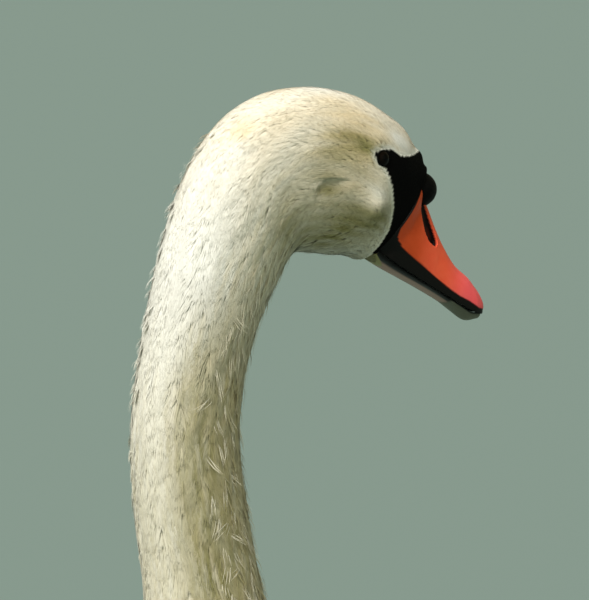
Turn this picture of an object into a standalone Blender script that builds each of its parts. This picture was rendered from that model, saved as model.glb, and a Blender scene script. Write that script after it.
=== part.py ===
"""Mute swan at life size, resting on its belly with its feet tucked under.

Metres, +Z up, the bird faces +X and its left side is +Y. The origin is the middle of the
flat that the belly rests on. Every surface is the outline at the feather tips.
"""

import math
from collections import namedtuple

import bmesh
import bpy
import numpy as np
from mathutils import Matrix, Vector

# Driving dimensions of the body. A station is one cross-section: the place of its centre on the
# middle plane (x, z), its lean from upright in degrees (90 lies flat, across a standing neck),
# its reach up towards the back and down towards the belly, its half width, and how much
# wider it is below its centre than above.
Station = namedtuple("Station", "x z lean up down half egg")
BODY = {
    "tail_tip": Station(-0.460, 0.190, -4, 0.0030, 0.0030, 0.012, 0.00),
    "tail_middle": Station(-0.405, 0.186, -4, 0.0080, 0.0085, 0.046, 0.00),
    "tail_root": Station(-0.335, 0.181, -5, 0.018, 0.022, 0.056, 0.00),
    "rump": Station(-0.292, 0.177, -7, 0.046, 0.062, 0.086, 0.00),
    "loin": Station(-0.215, 0.162, -6, 0.093, 0.124, 0.120, 0.03),
    "back": Station(-0.120, 0.150, -3, 0.129, 0.148, 0.141, 0.04),
    "middle": Station(0.000, 0.148, 0, 0.141, 0.151, 0.148, 0.04),
    "shoulder": Station(0.105, 0.160, 9, 0.137, 0.160, 0.143, 0.04),
    "breast": Station(0.182, 0.196, 32, 0.116, 0.138, 0.120, 0.02),
    "neck_root": Station(0.213, 0.270, 62, 0.077, 0.089, 0.080, 0.00),
    "neck_base": Station(0.2185, 0.343, 80, 0.0545, 0.0565, 0.0560, 0.00),
    "neck_low": Station(0.2110, 0.400, 88, 0.0445, 0.0450, 0.0445, 0.00),
    "neck_third": Station(0.2033, 0.449, 90, 0.0388, 0.0388, 0.0388, 0.00),
    "neck_half": Station(0.1931, 0.512, 87, 0.0370, 0.0370, 0.0365, 0.00),
    "neck_slim": Station(0.1898, 0.559, 84, 0.0353, 0.0353, 0.0350, 0.00),
    "neck_high": Station(0.1947, 0.599, 82, 0.0350, 0.0350, 0.0352, 0.00),
    "neck_top": Station(0.2032, 0.632, 82, 0.0368, 0.0368, 0.0365, 0.00),
    "throat": Station(0.2144, 0.663, 72, 0.0400, 0.0398, 0.0375, 0.00),
    "nape": Station(0.2237, 0.685, 60, 0.0425, 0.0420, 0.0378, 0.00),
    "hind_head": Station(0.2335, 0.7025, 42.5, 0.0466, 0.0460, 0.0378, 0.01),
    "rear_crown": Station(0.2458, 0.715, 28, 0.0512, 0.0503, 0.0370, 0.03),
    "crown": Station(0.2635, 0.722, 15.7, 0.0549, 0.0540, 0.0356, 0.05),
    "mid_crown": Station(0.2848, 0.7233, 4.5, 0.0556, 0.0547, 0.0340, 0.07),
    "fore_crown": Station(0.3050, 0.7200, -8.1, 0.0540, 0.0530, 0.0315, 0.09),
    "eye_line": Station(0.3214, 0.7138, -18.3, 0.0502, 0.0491, 0.0286, 0.10),
    "forehead": Station(0.3341, 0.7058, -27.7, 0.0464, 0.0454, 0.0243, 0.12),
    "face": Station(0.3403, 0.6964, -35.3, 0.0403, 0.0400, 0.0212, 0.13),
    "bill_base": Station(0.3462, 0.6918, -42.2, 0.0310, 0.0390, 0.0188, 0.14),
}
BODY_ROUNDNESS = 2.1  # exponent of each cross-section: 2 is an ellipse, more is squarer
STATION_SPREAD = 0.006  # added to the distance between stations, for an even pace where they fan out

GAP = 0.0003  # between pieces that touch

# Cuts between the named lengths, each at a station.
NECK_CUT = "neck_base"
NECK_LOW_CUT = "neck_third"
NECK_HIGH_CUT = "neck_slim"
HEAD_CUT = "throat"

# Bill. A mandible station is its edge where the two meet (x, z), its lean, its height away
# from that edge and its half width there.
Mandible = namedtuple("Mandible", "x z lean height half")
UPPER_BILL = [
    Mandible(0.3265, 0.6700, -42.2, 0.0570, 0.0180),
    Mandible(0.3420, 0.6598, -41.5, 0.0468, 0.0172),
    Mandible(0.3565, 0.6506, -36.0, 0.0382, 0.0163),
    Mandible(0.3680, 0.6433, -32.5, 0.0318, 0.0153),
    Mandible(0.3815, 0.6360, -31.0, 0.0243, 0.0147),
    Mandible(0.3950, 0.6292, -28.0, 0.0206, 0.0146),
    Mandible(0.4040, 0.6258, -25.0, 0.0172, 0.0138),
    Mandible(0.4108, 0.6246, -24.0, 0.0105, 0.0098),
    Mandible(0.4140, 0.6252, -20.0, 0.0046, 0.0050),
]
LOWER_BILL = [
    Mandible(0.3263, 0.6696, -42.2, 0.0066, 0.0172),
    Mandible(0.3418, 0.6594, -35.0, 0.0050, 0.0162),
    Mandible(0.3563, 0.6502, -31.0, 0.0036, 0.0150),
    Mandible(0.3740, 0.6394, -28.0, 0.0026, 0.0136),
    Mandible(0.3865, 0.6328, -26.0, 0.0036, 0.0122),
    Mandible(0.3950, 0.6288, -20.0, 0.0062, 0.0108),
    Mandible(0.4030, 0.6257, -12.0, 0.0064, 0.0080),
    Mandible(0.4090, 0.6241, -4.0, 0.0036, 0.0044),
]
BILL_ROUNDNESS = 1.85

KNOB_CENTRE = Vector((0.3660, 0.0, 0.7108))
KNOB_RADII = (0.0148, 0.0116, 0.0162)  # forward, sideways and along the forehead
KNOB_LEAN = 15  # degrees that the knob leans forward, along the forehead's slope

EYE_RADIUS = 0.0068
EYE_X = 0.3238
EYE_Z = 0.7312
EYE_PROUD = 0.0008  # how far the eye stands out of the feathers round it

# Folded wings, laid over the trunk. Each edge is the angle round the trunk from its ridge,
# in degrees, at even steps from the wing's front to its rear.
WING_FRONT = "breast"
WING_REAR = "tail_root"
WING_THICKNESS = 0.021
WING_REAR_THICKNESS = 0.009
WING_EDGE = 0.0012
WING_TOP_ANGLES = (62, 34, 9, 2.0, 1.5, 3.0)
WING_LOW_ANGLES = (94, 112, 112, 108, 98, 80)
WING_CLEARANCE = 0.0022
PRIMARY_TOP_ANGLES = (3.0, 6.0, 14.0)
PRIMARY_LOW_ANGLES = (78, 60, 26)
PRIMARY_REACH = 0.72  # how far along the tail the longest flight feathers end

# Legs folded under, each tarsus and foot flat on the floor.
HEEL = Vector((-0.165, 0.088, 0.0))
TOE_JOINT = Vector((-0.062, 0.096, 0.0))
TARSUS_RADIUS = 0.0068
HEEL_RADIUS = 0.0105
HEEL_RISE = 0.028
FLAT = 0.0008  # depth cut off each piece that rests on the floor, which leaves a flat
TOE_LENGTHS = {"inner": 0.112, "middle": 0.142, "outer": 0.134}
TOE_ANGLES = {"inner": -14, "middle": 4, "outer": 21}
TOE_RADIUS = 0.0048
WEB_THICKNESS = 0.0030
CLAW_LENGTH = 0.013
HIND_TOE_LENGTH = 0.026

# Facets round and along each length.
BODY_SIDES = 32
NECK_SIDES = 24


def clear_scene():
    for old in list(bpy.data.objects):
        bpy.data.objects.remove(old)


def material(name, colour, roughness, metallic=0.0):
    """A plain Principled material in linear colour."""
    made = bpy.data.materials.new(name)
    made.use_nodes = True
    shader = made.node_tree.nodes["Principled BSDF"]
    shader.inputs["Base Color"].default_value = (*colour, 1.0)
    shader.inputs["Roughness"].default_value = roughness
    shader.inputs["Metallic"].default_value = metallic
    return made


def add_object(name, points, faces, finish):
    """A named object from points and faces, its normals turned outwards."""
    mesh = bpy.data.meshes.new(name)
    mesh.from_pydata([tuple(point) for point in points], [], faces)
    shape = bmesh.new()
    shape.from_mesh(mesh)
    bmesh.ops.remove_doubles(shape, verts=shape.verts, dist=1e-6)
    bmesh.ops.recalc_face_normals(shape, faces=shape.faces)
    shape.to_mesh(mesh)
    shape.free()
    made = bpy.data.objects.new(name, mesh)
    bpy.context.scene.collection.objects.link(made)
    mesh.shade_smooth()
    mesh.set_sharp_from_angle(angle=math.radians(40))
    if finish:
        mesh.materials.append(finish)
    return made


def cutter(name, points, faces):
    """A helper solid for a Boolean, left out of renders."""
    made = add_object(name, points, faces, None)
    made.hide_render = True
    made.display_type = "WIRE"
    return made


def cut(target, tool):
    """Takes the tool's volume off the target, at once."""
    modifier = target.modifiers.new("cut", "BOOLEAN")
    modifier.operation = "DIFFERENCE"
    modifier.object = tool
    modifier.solver = "EXACT"
    bpy.context.view_layer.objects.active = target
    bpy.ops.object.modifier_apply(modifier=modifier.name)


def join(target, others):
    """Unites the others with the target, and removes them."""
    for other in others:
        modifier = target.modifiers.new("join", "BOOLEAN")
        modifier.operation = "UNION"
        modifier.object = other
        modifier.solver = "EXACT"
        bpy.context.view_layer.objects.active = target
        bpy.ops.object.modifier_apply(modifier=modifier.name)
        bpy.data.objects.remove(other)


def smooth_through(knots, values, at):
    """Cubic through every row of values, with slopes weighted by the distance to each side."""
    gaps = np.diff(knots)
    slopes = np.diff(values, axis=0) / gaps[:, None]
    tangents = np.empty_like(values)
    tangents[0], tangents[-1] = slopes[0], slopes[-1]
    tangents[1:-1] = (slopes[:-1] * gaps[1:, None] + slopes[1:] * gaps[:-1, None]) / (
        gaps[1:] + gaps[:-1]
    )[:, None]
    cell = np.clip(np.searchsorted(knots, at, side="right") - 1, 0, len(knots) - 2)
    gap = gaps[cell][:, None]
    t = ((at - knots[cell]) / gaps[cell])[:, None]
    return (
        values[cell] * (1 + 2 * t) * (1 - t) ** 2
        + gap * tangents[cell] * t * (1 - t) ** 2
        + values[cell + 1] * t * t * (3 - 2 * t)
        + gap * tangents[cell + 1] * t * t * (t - 1)
    )


def knots_of(rows):
    """Distance along the stations' centres, with a little added for each."""
    steps = np.linalg.norm(np.diff(rows[:, :2], axis=0), axis=1) + STATION_SPREAD
    return np.concatenate([[0.0], np.cumsum(steps)])


def rounded(cosine, sine, exponent):
    """A point of a superellipse in place of one on a circle."""
    power = 2 / exponent
    return (
        np.sign(cosine) * np.abs(cosine) ** power,
        np.sign(sine) * np.abs(sine) ** power,
    )


BODY_ROWS = np.array(list(BODY.values()), float)
BODY_KNOTS = knots_of(BODY_ROWS)
BODY_NAMES = list(BODY)


def body_at(name):
    """Distance along the body of a named station."""
    return BODY_KNOTS[BODY_NAMES.index(name)]


def body_surface(along, angle, proud=0.0):
    """Points of the body for each distance along and angle round, 0 at the ridge of the back."""
    x, z, lean, up, down, half, egg = smooth_through(BODY_KNOTS, BODY_ROWS, along).T
    lean = np.radians(lean)
    cosine, sine = rounded(np.cos(angle), np.sin(angle), BODY_ROUNDNESS)
    reach = np.where(cosine >= 0, up + proud, down + proud) * cosine
    side = (half + proud) * (1 - egg * cosine) * sine
    return np.stack([x - np.sin(lean) * reach, side, z + np.cos(lean) * reach], axis=-1)


def loft(rings):
    """Points and faces of a closed solid through equal rings, with a fan over each end."""
    count, sides = rings.shape[:2]
    points = list(rings.reshape(-1, 3)) + [rings[0].mean(axis=0), rings[-1].mean(axis=0)]
    first, last = count * sides, count * sides + 1
    faces = []
    for side in range(sides):
        beside = (side + 1) % sides
        for ring in range(count - 1):
            a, b = ring * sides + side, ring * sides + beside
            faces.append((a, b, b + sides, a + sides))
        faces.append((side, first, beside))
        faces.append(((count - 1) * sides + side, (count - 1) * sides + beside, last))
    return points, faces


def body_length(name, start, end, steps, sides, finish):
    """A length of the body between two distances along it, flat at each end."""
    along = np.linspace(start, end, steps)
    angle = np.linspace(0, 2 * math.pi, sides, endpoint=False)
    rings = body_surface(np.repeat(along, sides), np.tile(angle, steps))
    return add_object(name, *loft(rings.reshape(steps, sides, 3)), finish)


def mandible(name, stations, side, finish, steps=17, sides=14):
    """Half of the bill: flat where the halves meet, arched away from it. Side is 1 above, -1 below."""
    rows = np.array(stations, float)
    along = np.linspace(0, 1, steps) ** 0.85
    knots = knots_of(rows)
    x, z, lean, height, half = smooth_through(knots, rows, along * knots[-1]).T
    lean = np.radians(lean)
    angle = np.linspace(-math.pi / 2, math.pi / 2, sides)
    cosine, sine = rounded(np.cos(angle), np.sin(angle), BILL_ROUNDNESS)
    reach = side * height[:, None] * np.maximum(cosine, 0)[None, :]
    rings = np.stack(
        [
            x[:, None] - np.sin(lean)[:, None] * reach,
            half[:, None] * sine[None, :],
            z[:, None] + np.cos(lean)[:, None] * reach,
        ],
        axis=-1,
    )
    return add_object(name, *loft(rings), finish)


def ball(name, centre, radii, lean, finish, across=18, down=11):
    """An ellipsoid of three radii, leaned about the Y axis."""
    made = bpy.data.meshes.new(name)
    shape = bmesh.new()
    bmesh.ops.create_uvsphere(shape, u_segments=across, v_segments=down, radius=1.0)
    for vertex in shape.verts:
        x, y, z = (vertex.co[i] * radii[i] for i in range(3))
        tilt = math.radians(lean)
        vertex.co = Vector(
            (x * math.cos(tilt) - z * math.sin(tilt), y, x * math.sin(tilt) + z * math.cos(tilt))
        ) + Vector(centre)
    bmesh.ops.recalc_face_normals(shape, faces=shape.faces)
    shape.to_mesh(made)
    shape.free()
    made.shade_smooth()
    placed = bpy.data.objects.new(name, made)
    bpy.context.scene.collection.objects.link(placed)
    if finish:
        made.materials.append(finish)
    else:
        placed.hide_render = True
        placed.display_type = "WIRE"
    return placed


def hollow_for_ball(target, centre, radii, lean):
    """A socket in the target with the gap all round."""
    tool = ball("socket_cutter", centre, [radius + GAP for radius in radii], lean, None)
    cut(target, tool)
    bpy.data.objects.remove(tool)


def floor_block():
    """A block whose top is the floor."""
    points = [(x, y, z) for z in (-0.05, 0.0) for y in (-0.6, 0.6) for x in (-0.8, 0.8)]
    faces = [(0, 1, 3, 2), (4, 5, 7, 6), (0, 1, 5, 4), (2, 3, 7, 6), (0, 2, 6, 4), (1, 3, 7, 5)]
    return cutter("floor_cutter", points, faces)


def cut_at_floor(target):
    tool = floor_block()
    cut(target, tool)
    bpy.data.objects.remove(tool)


def eye_centre(side):
    """The eye's centre, so that it stands a little out of the head's side."""
    rows = np.linspace(body_at("mid_crown"), body_at("face"), 200)
    angle = np.linspace(0.1, math.pi / 2 + 0.6, 200)
    grid = body_surface(np.repeat(rows, 200), np.tile(angle, 200))
    nearest = np.argmin((grid[:, 0] - EYE_X) ** 2 + (grid[:, 2] - EYE_Z) ** 2)
    return Vector((EYE_X, side * (grid[nearest, 1] + EYE_PROUD - EYE_RADIUS), EYE_Z))


def build_head(plumage, horn, knob_skin, eye_glass):
    """Head with sockets for the eyes and the knob, the eyes, both halves of the bill, the knob."""
    head = body_length(
        "head", body_at(HEAD_CUT) + GAP, body_at("bill_base"), 20, BODY_SIDES, plumage
    )
    upper = mandible("bill_upper", UPPER_BILL, 1, horn)
    lower = mandible("bill_lower", LOWER_BILL, -1, horn, steps=13, sides=11)
    face_lean = math.radians(BODY["bill_base"].lean)
    forward = GAP * Vector((math.cos(face_lean), 0, math.sin(face_lean)))
    for half in (upper, lower):
        half.data.transform(Matrix.Translation(forward))
    lower.data.transform(Matrix.Translation((0, 0, -GAP)))
    ball("bill_knob", KNOB_CENTRE, KNOB_RADII, KNOB_LEAN, knob_skin)
    for target in (head, upper):
        hollow_for_ball(target, KNOB_CENTRE, KNOB_RADII, KNOB_LEAN)
    for side, name in ((1, "eye_left"), (-1, "eye_right")):
        centre = eye_centre(side)
        radii = (EYE_RADIUS,) * 3
        ball(name, centre, radii, 0, eye_glass, across=14, down=9)
        hollow_for_ball(head, centre, radii, 0)


def build_neck_trunk_tail(plumage):
    """The lengths of the body behind the head, with the flat that the belly rests on."""
    lengths = (
        ("neck_upper", NECK_HIGH_CUT, HEAD_CUT, 7, NECK_SIDES),
        ("neck_middle", NECK_LOW_CUT, NECK_HIGH_CUT, 6, NECK_SIDES),
        ("neck_lower", NECK_CUT, NECK_LOW_CUT, 6, NECK_SIDES),
        ("trunk", "tail_root", NECK_CUT, 25, BODY_SIDES),
        ("tail", "tail_tip", "tail_root", 7, NECK_SIDES),
    )
    for name, start, end, steps, sides in lengths:
        length = body_length(
            name, body_at(start) + GAP, body_at(end) - GAP, steps, sides, plumage
        )
        if name == "trunk":
            cut_at_floor(length)


def along_curve(values, at):
    """A smooth curve through evenly spaced values, read at each place from 0 to 1."""
    values = np.array(values, float)[:, None]
    knots = np.linspace(0, 1, len(values))
    return smooth_through(knots, values, at.ravel())[:, 0].reshape(at.shape)


def shell(name, side, start, end, tops, lows, thickness, steps, across, finish):
    """A closed shell over the trunk's side between two distances and two edges."""
    u, v = np.meshgrid(np.linspace(0, 1, steps), np.linspace(0, 1, across), indexing="ij")
    along = start + (end - start) * u
    top, low = np.radians(along_curve(tops, u)), np.radians(along_curve(lows, u))
    angle = side * (top + (low - top) * v)
    depth = WING_EDGE + thickness(u, v)
    outer = body_surface(along.ravel(), angle.ravel(), (WING_CLEARANCE + depth).ravel())
    inner = body_surface(along.ravel(), angle.ravel(), WING_CLEARANCE)
    points = list(outer) + list(inner)
    number = np.arange(steps * across).reshape(steps, across)
    faces = []
    for i in range(steps - 1):
        for j in range(across - 1):
            a, b, c, d = number[i, j], number[i + 1, j], number[i + 1, j + 1], number[i, j + 1]
            faces += [(a, b, c, d), tuple(steps * across + k for k in (d, c, b, a))]
    rim = list(number[:, 0]) + list(number[-1, 1:]) + list(number[-2::-1, -1]) + list(number[0, -2:0:-1])
    for here, after in zip(rim, rim[1:] + rim[:1]):
        faces.append((here, after, after + steps * across, here + steps * across))
    return add_object(name, points, faces, finish)


def wing_thickness(u, v):
    """Full over the middle of the wing, thin at its upper, lower and front edges."""
    bulge = np.sin(np.pi * np.clip(v, 0, 1)) ** 0.55
    front = np.sqrt(np.clip(u / 0.16, 0, 1))
    rear = np.clip((1 - u) / 0.55, 0, 1)
    full = WING_REAR_THICKNESS + (WING_THICKNESS - WING_REAR_THICKNESS) * rear
    return full * bulge * front


def primary_thickness(u, v):
    """Carries on from the wing's rear and thins out to the feather tips."""
    return WING_REAR_THICKNESS * np.sin(np.pi * np.clip(v, 0, 1)) ** 0.55 * (1 - u) ** 0.8


def build_wings(plumage):
    front, rear = body_at(WING_FRONT), body_at(WING_REAR)
    tips = rear - PRIMARY_REACH * (rear - body_at("tail_tip"))
    for side, word in ((1, "left"), (-1, "right")):
        shell(
            f"wing_{word}", side, front, rear, WING_TOP_ANGLES, WING_LOW_ANGLES,
            wing_thickness, 18, 9, plumage,
        )
        shell(
            f"primaries_{word}", side, rear - 2 * GAP, tips, PRIMARY_TOP_ANGLES,
            PRIMARY_LOW_ANGLES, primary_thickness, 8, 7, plumage,
        )


def rod(name, start, end, start_radius, end_radius, finish, sides=12):
    """A tapered round rod between two points."""
    start, end = Vector(start), Vector(end)
    shape = bmesh.new()
    bmesh.ops.create_cone(
        shape, cap_ends=True, segments=sides, radius1=start_radius, radius2=end_radius,
        depth=(end - start).length,
    )
    turn = (end - start).to_track_quat("Z", "Y").to_matrix().to_4x4()
    shape.transform(Matrix.Translation((start + end) / 2) @ turn)
    mesh = bpy.data.meshes.new(name)
    shape.to_mesh(mesh)
    shape.free()
    mesh.shade_smooth()
    mesh.set_sharp_from_angle(angle=math.radians(40))
    made = bpy.data.objects.new(name, mesh)
    bpy.context.scene.collection.objects.link(made)
    mesh.materials.append(finish)
    return made


def mirrored(point, side):
    return Vector((point[0], side * point[1], point[2]))


def build_leg(side, word, leg_skin):
    """Heel and tarsus along the floor, and the feathered shank's end up to the belly."""
    heel = mirrored(HEEL, side) + Vector((0, 0, HEEL_RADIUS - FLAT))
    front = mirrored(TOE_JOINT, side) + Vector((0, 0, TARSUS_RADIUS - FLAT))
    leg = rod(f"leg_{word}", heel, front, TARSUS_RADIUS * 1.15, TARSUS_RADIUS, leg_skin)
    knuckle = ball("knuckle", heel, (HEEL_RADIUS,) * 3, 0, leg_skin, across=12, down=8)
    knuckle.hide_render = False
    shank_end = heel + Vector((0.012, -side * 0.004, HEEL_RISE * 2))
    shank = rod("shank", heel, shank_end, HEEL_RADIUS * 0.85, HEEL_RADIUS * 1.3, leg_skin)
    join(leg, [knuckle, shank])
    sides, steps = BODY_SIDES, 24
    along = np.linspace(body_at("tail_root"), body_at("breast"), steps)
    angle = np.linspace(0, 2 * math.pi, sides, endpoint=False)
    rings = body_surface(np.repeat(along, sides), np.tile(angle, steps), 2 * GAP)
    belly = cutter("belly_cutter", *loft(rings.reshape(steps, sides, 3)))
    cut(leg, belly)
    bpy.data.objects.remove(belly)
    cut_at_floor(leg)


def build_foot(side, word, leg_skin):
    """Three webbed front toes flat on the floor, the small hind toe, and the claws."""
    joint = mirrored(TOE_JOINT, side) + Vector((2 * GAP, 0, TOE_RADIUS - FLAT))
    root = joint + Vector((TOE_RADIUS, 0, 0))
    palm = root + Vector((0.0035, 0, 0.0012))
    foot = ball(f"foot_{word}", palm, (0.0075, 0.0085, 0.0062), 0, leg_skin, across=12, down=8)
    tips = {}
    pieces = []
    for toe, length in TOE_LENGTHS.items():
        turn = math.radians(TOE_ANGLES[toe])
        aim = Vector((math.cos(turn), side * math.sin(turn), 0))
        tip = root + aim * (length - CLAW_LENGTH)
        tips[toe] = tip
        drop = Vector((0, 0, -TOE_RADIUS * 0.35))
        pieces.append(rod("toe", root, tip + drop, TOE_RADIUS, TOE_RADIUS * 0.65, leg_skin, 8))
        claw = tip + aim * CLAW_LENGTH + Vector((0, 0, -TOE_RADIUS + 0.0022))
        pieces.append(rod("claw", tip + drop - aim * 0.002, claw, TOE_RADIUS * 0.6, 0.0011, leg_skin, 8))
    hind_aim = Vector((-0.55, -side * 0.75, 0.0)).normalized()
    hind_tip = root + hind_aim * HIND_TOE_LENGTH + Vector((0, 0, -TOE_RADIUS * 0.4))
    hind_root = root + Vector((0.004, -side * 0.004, 0))
    pieces.append(rod("hind_toe", hind_root, hind_tip, TOE_RADIUS * 0.75, 0.0022, leg_skin, 8))
    pieces.append(web(side, root, tips, leg_skin))
    join(foot, pieces)
    cut_at_floor(foot)


def web(side, root, tips, finish):
    """The webs: one plate from the toes' root to a curve hung between each pair of tips."""
    def hung(first, last, sag):
        """Points between two toe tips, drawn back towards the root in the middle."""
        t = np.linspace(0, 1, 5)[:, None]
        first, last, back = np.array(first), np.array(last), np.array(root)
        straight = first + (last - first) * t
        return straight + (back - straight) * sag * np.sin(np.pi * t)

    inset = 0.94  # the web ends just short of each claw
    ends = {toe: Vector(root) + (tip - root) * inset for toe, tip in tips.items()}
    edge = np.concatenate(
        [hung(ends["inner"], ends["middle"], 0.13), hung(ends["middle"], ends["outer"], 0.13)[1:]]
    )
    outline = np.concatenate([[np.array(root) - (0.002, 0, 0)], edge])
    low = root.z - TOE_RADIUS * 0.95
    points = [(x, y, z) for z in (low, low + WEB_THICKNESS) for x, y, _ in outline]
    count = len(outline)
    faces = []
    for i in range(count):
        after = (i + 1) % count
        faces.append((i, after, after + count, i + count))
    for i in range(1, count - 1):
        faces += [(0, i, i + 1), (count, count + i, count + i + 1)]
    return add_object("web", points, faces, finish)


def main():
    clear_scene()
    plumage = material("plumage_white", (0.79, 0.76, 0.66), 0.75)
    horn = material("bill_orange", (0.76, 0.11, 0.03), 0.4)
    knob_skin = material("knob_black", (0.008, 0.008, 0.009), 0.5)
    eye_glass = material("eye_dark", (0.012, 0.008, 0.006), 0.08)
    leg_skin = material("leg_black", (0.030, 0.032, 0.030), 0.6)
    build_head(plumage, horn, knob_skin, eye_glass)
    build_neck_trunk_tail(plumage)
    build_wings(plumage)
    for side, word in ((1, "left"), (-1, "right")):
        build_leg(side, word, leg_skin)
        build_foot(side, word, leg_skin)


main()
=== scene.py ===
import math

import bpy
import numpy as np
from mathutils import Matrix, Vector


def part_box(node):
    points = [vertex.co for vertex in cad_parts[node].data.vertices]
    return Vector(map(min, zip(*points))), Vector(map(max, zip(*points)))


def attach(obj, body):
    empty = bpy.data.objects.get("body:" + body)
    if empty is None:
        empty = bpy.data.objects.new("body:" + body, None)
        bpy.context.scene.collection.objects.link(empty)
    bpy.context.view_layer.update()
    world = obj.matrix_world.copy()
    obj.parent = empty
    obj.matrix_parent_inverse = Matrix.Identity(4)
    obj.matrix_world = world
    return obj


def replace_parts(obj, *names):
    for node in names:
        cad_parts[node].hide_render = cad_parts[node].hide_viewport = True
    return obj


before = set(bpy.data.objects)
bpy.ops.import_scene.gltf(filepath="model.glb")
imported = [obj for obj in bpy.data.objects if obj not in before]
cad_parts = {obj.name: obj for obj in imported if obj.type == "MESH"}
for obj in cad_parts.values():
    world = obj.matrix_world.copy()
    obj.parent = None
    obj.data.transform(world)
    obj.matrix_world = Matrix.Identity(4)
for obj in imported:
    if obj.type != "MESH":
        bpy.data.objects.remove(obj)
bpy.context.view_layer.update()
rng = np.random.default_rng(11)

# The body's cross-sections, as in the CAD: centre x and z, lean in degrees, reach up and down,
# half width, and how much wider it is below its centre than above. All in metres.
bodyStations = {
    "tailTip": (-0.460, 0.190, -4, 0.0030, 0.0030, 0.012, 0.00),
    "tailMiddle": (-0.405, 0.186, -4, 0.0080, 0.0085, 0.046, 0.00),
    "tailRoot": (-0.335, 0.181, -5, 0.018, 0.022, 0.056, 0.00),
    "rump": (-0.292, 0.177, -7, 0.046, 0.062, 0.086, 0.00),
    "loin": (-0.215, 0.162, -6, 0.093, 0.124, 0.120, 0.03),
    "back": (-0.120, 0.150, -3, 0.129, 0.148, 0.141, 0.04),
    "middle": (0.000, 0.148, 0, 0.141, 0.151, 0.148, 0.04),
    "shoulder": (0.105, 0.160, 9, 0.137, 0.160, 0.143, 0.04),
    "breast": (0.182, 0.196, 32, 0.116, 0.138, 0.120, 0.02),
    "neckRoot": (0.213, 0.270, 62, 0.077, 0.089, 0.080, 0.00),
    "neckBase": (0.2185, 0.343, 80, 0.0545, 0.0565, 0.0560, 0.00),
    "neckLow": (0.2110, 0.400, 88, 0.0445, 0.0450, 0.0445, 0.00),
    "neckThird": (0.2033, 0.449, 90, 0.0388, 0.0388, 0.0388, 0.00),
    "neckHalf": (0.1931, 0.512, 87, 0.0370, 0.0370, 0.0365, 0.00),
    "neckSlim": (0.1898, 0.559, 84, 0.0353, 0.0353, 0.0350, 0.00),
    "neckHigh": (0.1947, 0.599, 82, 0.0350, 0.0350, 0.0352, 0.00),
    "neckTop": (0.2032, 0.632, 82, 0.0368, 0.0368, 0.0365, 0.00),
    "throat": (0.2144, 0.663, 72, 0.0400, 0.0398, 0.0375, 0.00),
    "nape": (0.2237, 0.685, 60, 0.0425, 0.0420, 0.0378, 0.00),
    "hindHead": (0.2335, 0.7025, 42.5, 0.0466, 0.0460, 0.0378, 0.01),
    "rearCrown": (0.2458, 0.715, 28, 0.0512, 0.0503, 0.0370, 0.03),
    "crown": (0.2635, 0.722, 15.7, 0.0549, 0.0540, 0.0356, 0.05),
    "midCrown": (0.2848, 0.7233, 4.5, 0.0556, 0.0547, 0.0340, 0.07),
    "foreCrown": (0.3050, 0.7200, -8.1, 0.0540, 0.0530, 0.0315, 0.09),
    "eyeLine": (0.3214, 0.7138, -18.3, 0.0502, 0.0491, 0.0286, 0.10),
    "forehead": (0.3341, 0.7058, -27.7, 0.0464, 0.0454, 0.0243, 0.12),
    "face": (0.3403, 0.6964, -35.3, 0.0403, 0.0400, 0.0212, 0.13),
    "billBase": (0.3462, 0.6918, -42.2, 0.0310, 0.0390, 0.0188, 0.14),
}
bodyShape = {"roundness": 2.1, "stationSpread": 0.006, "floorGap": 0.0006, "floorShare": 0.4}

# How deep the skin lies under the feather tips, and how the feathers change along the body.
coatAlong = {
    #            depth   length  width   spacing
    "tailTip": (0.0015, 0.034, 0.0120, 0.0090),
    "tailRoot": (0.0060, 0.044, 0.0150, 0.0086),
    "loin": (0.0090, 0.048, 0.0170, 0.0088),
    "middle": (0.0090, 0.046, 0.0165, 0.0086),
    "breast": (0.0085, 0.038, 0.0125, 0.0066),
    "neckRoot": (0.0060, 0.0290, 0.0100, 0.00560),
    "neckBase": (0.0042, 0.0250, 0.0085, 0.00480),
    "neckThird": (0.0032, 0.0220, 0.0068, 0.00410),
    "neckSlim": (0.0029, 0.0200, 0.0060, 0.00375),
    "throat": (0.0026, 0.0175, 0.0050, 0.00320),
    "rearCrown": (0.0022, 0.0135, 0.0040, 0.00265),
    "midCrown": (0.0018, 0.0100, 0.0031, 0.00210),
    "eyeLine": (0.0015, 0.0066, 0.0022, 0.00150),
    "face": (0.0012, 0.0046, 0.0016, 0.00115),
    "billBase": (0.0010, 0.0036, 0.0012, 0.00095),
}


def smoothThrough(knots, values, at):
    # Cubic through every row of values; each slope weighs the steps on its two sides.
    gaps = np.diff(knots)
    slopes = np.diff(values, axis=0) / gaps[:, None]
    tangents = np.empty_like(values)
    tangents[0], tangents[-1] = slopes[0], slopes[-1]
    weighed = slopes[:-1] * gaps[1:, None] + slopes[1:] * gaps[:-1, None]
    tangents[1:-1] = weighed / (gaps[1:] + gaps[:-1])[:, None]
    cell = np.clip(np.searchsorted(knots, at, side="right") - 1, 0, len(knots) - 2)
    gap = gaps[cell][:, None]
    t = ((at - knots[cell]) / gaps[cell])[:, None]
    return (
        values[cell] * (1 + 2 * t) * (1 - t) ** 2
        + gap * tangents[cell] * t * (1 - t) ** 2
        + values[cell + 1] * t * t * (3 - 2 * t)
        + gap * tangents[cell + 1] * t * t * (t - 1)
    )


def knotsOf(rows):
    steps = np.linalg.norm(np.diff(rows[:, :2], axis=0), axis=1) + bodyShape["stationSpread"]
    return np.concatenate([[0.0], np.cumsum(steps)])


def unit(vectors):
    return vectors / np.maximum(np.linalg.norm(vectors, axis=-1, keepdims=True), 1e-12)


def smoothStep(low, high, value):
    t = np.clip((value - low) / (high - low), 0, 1)
    return t * t * (3 - 2 * t)


def rounded(wave, power):
    # A sine or cosine raised to a power, with its sign kept.
    return np.sign(wave) * np.abs(wave) ** power


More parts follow.
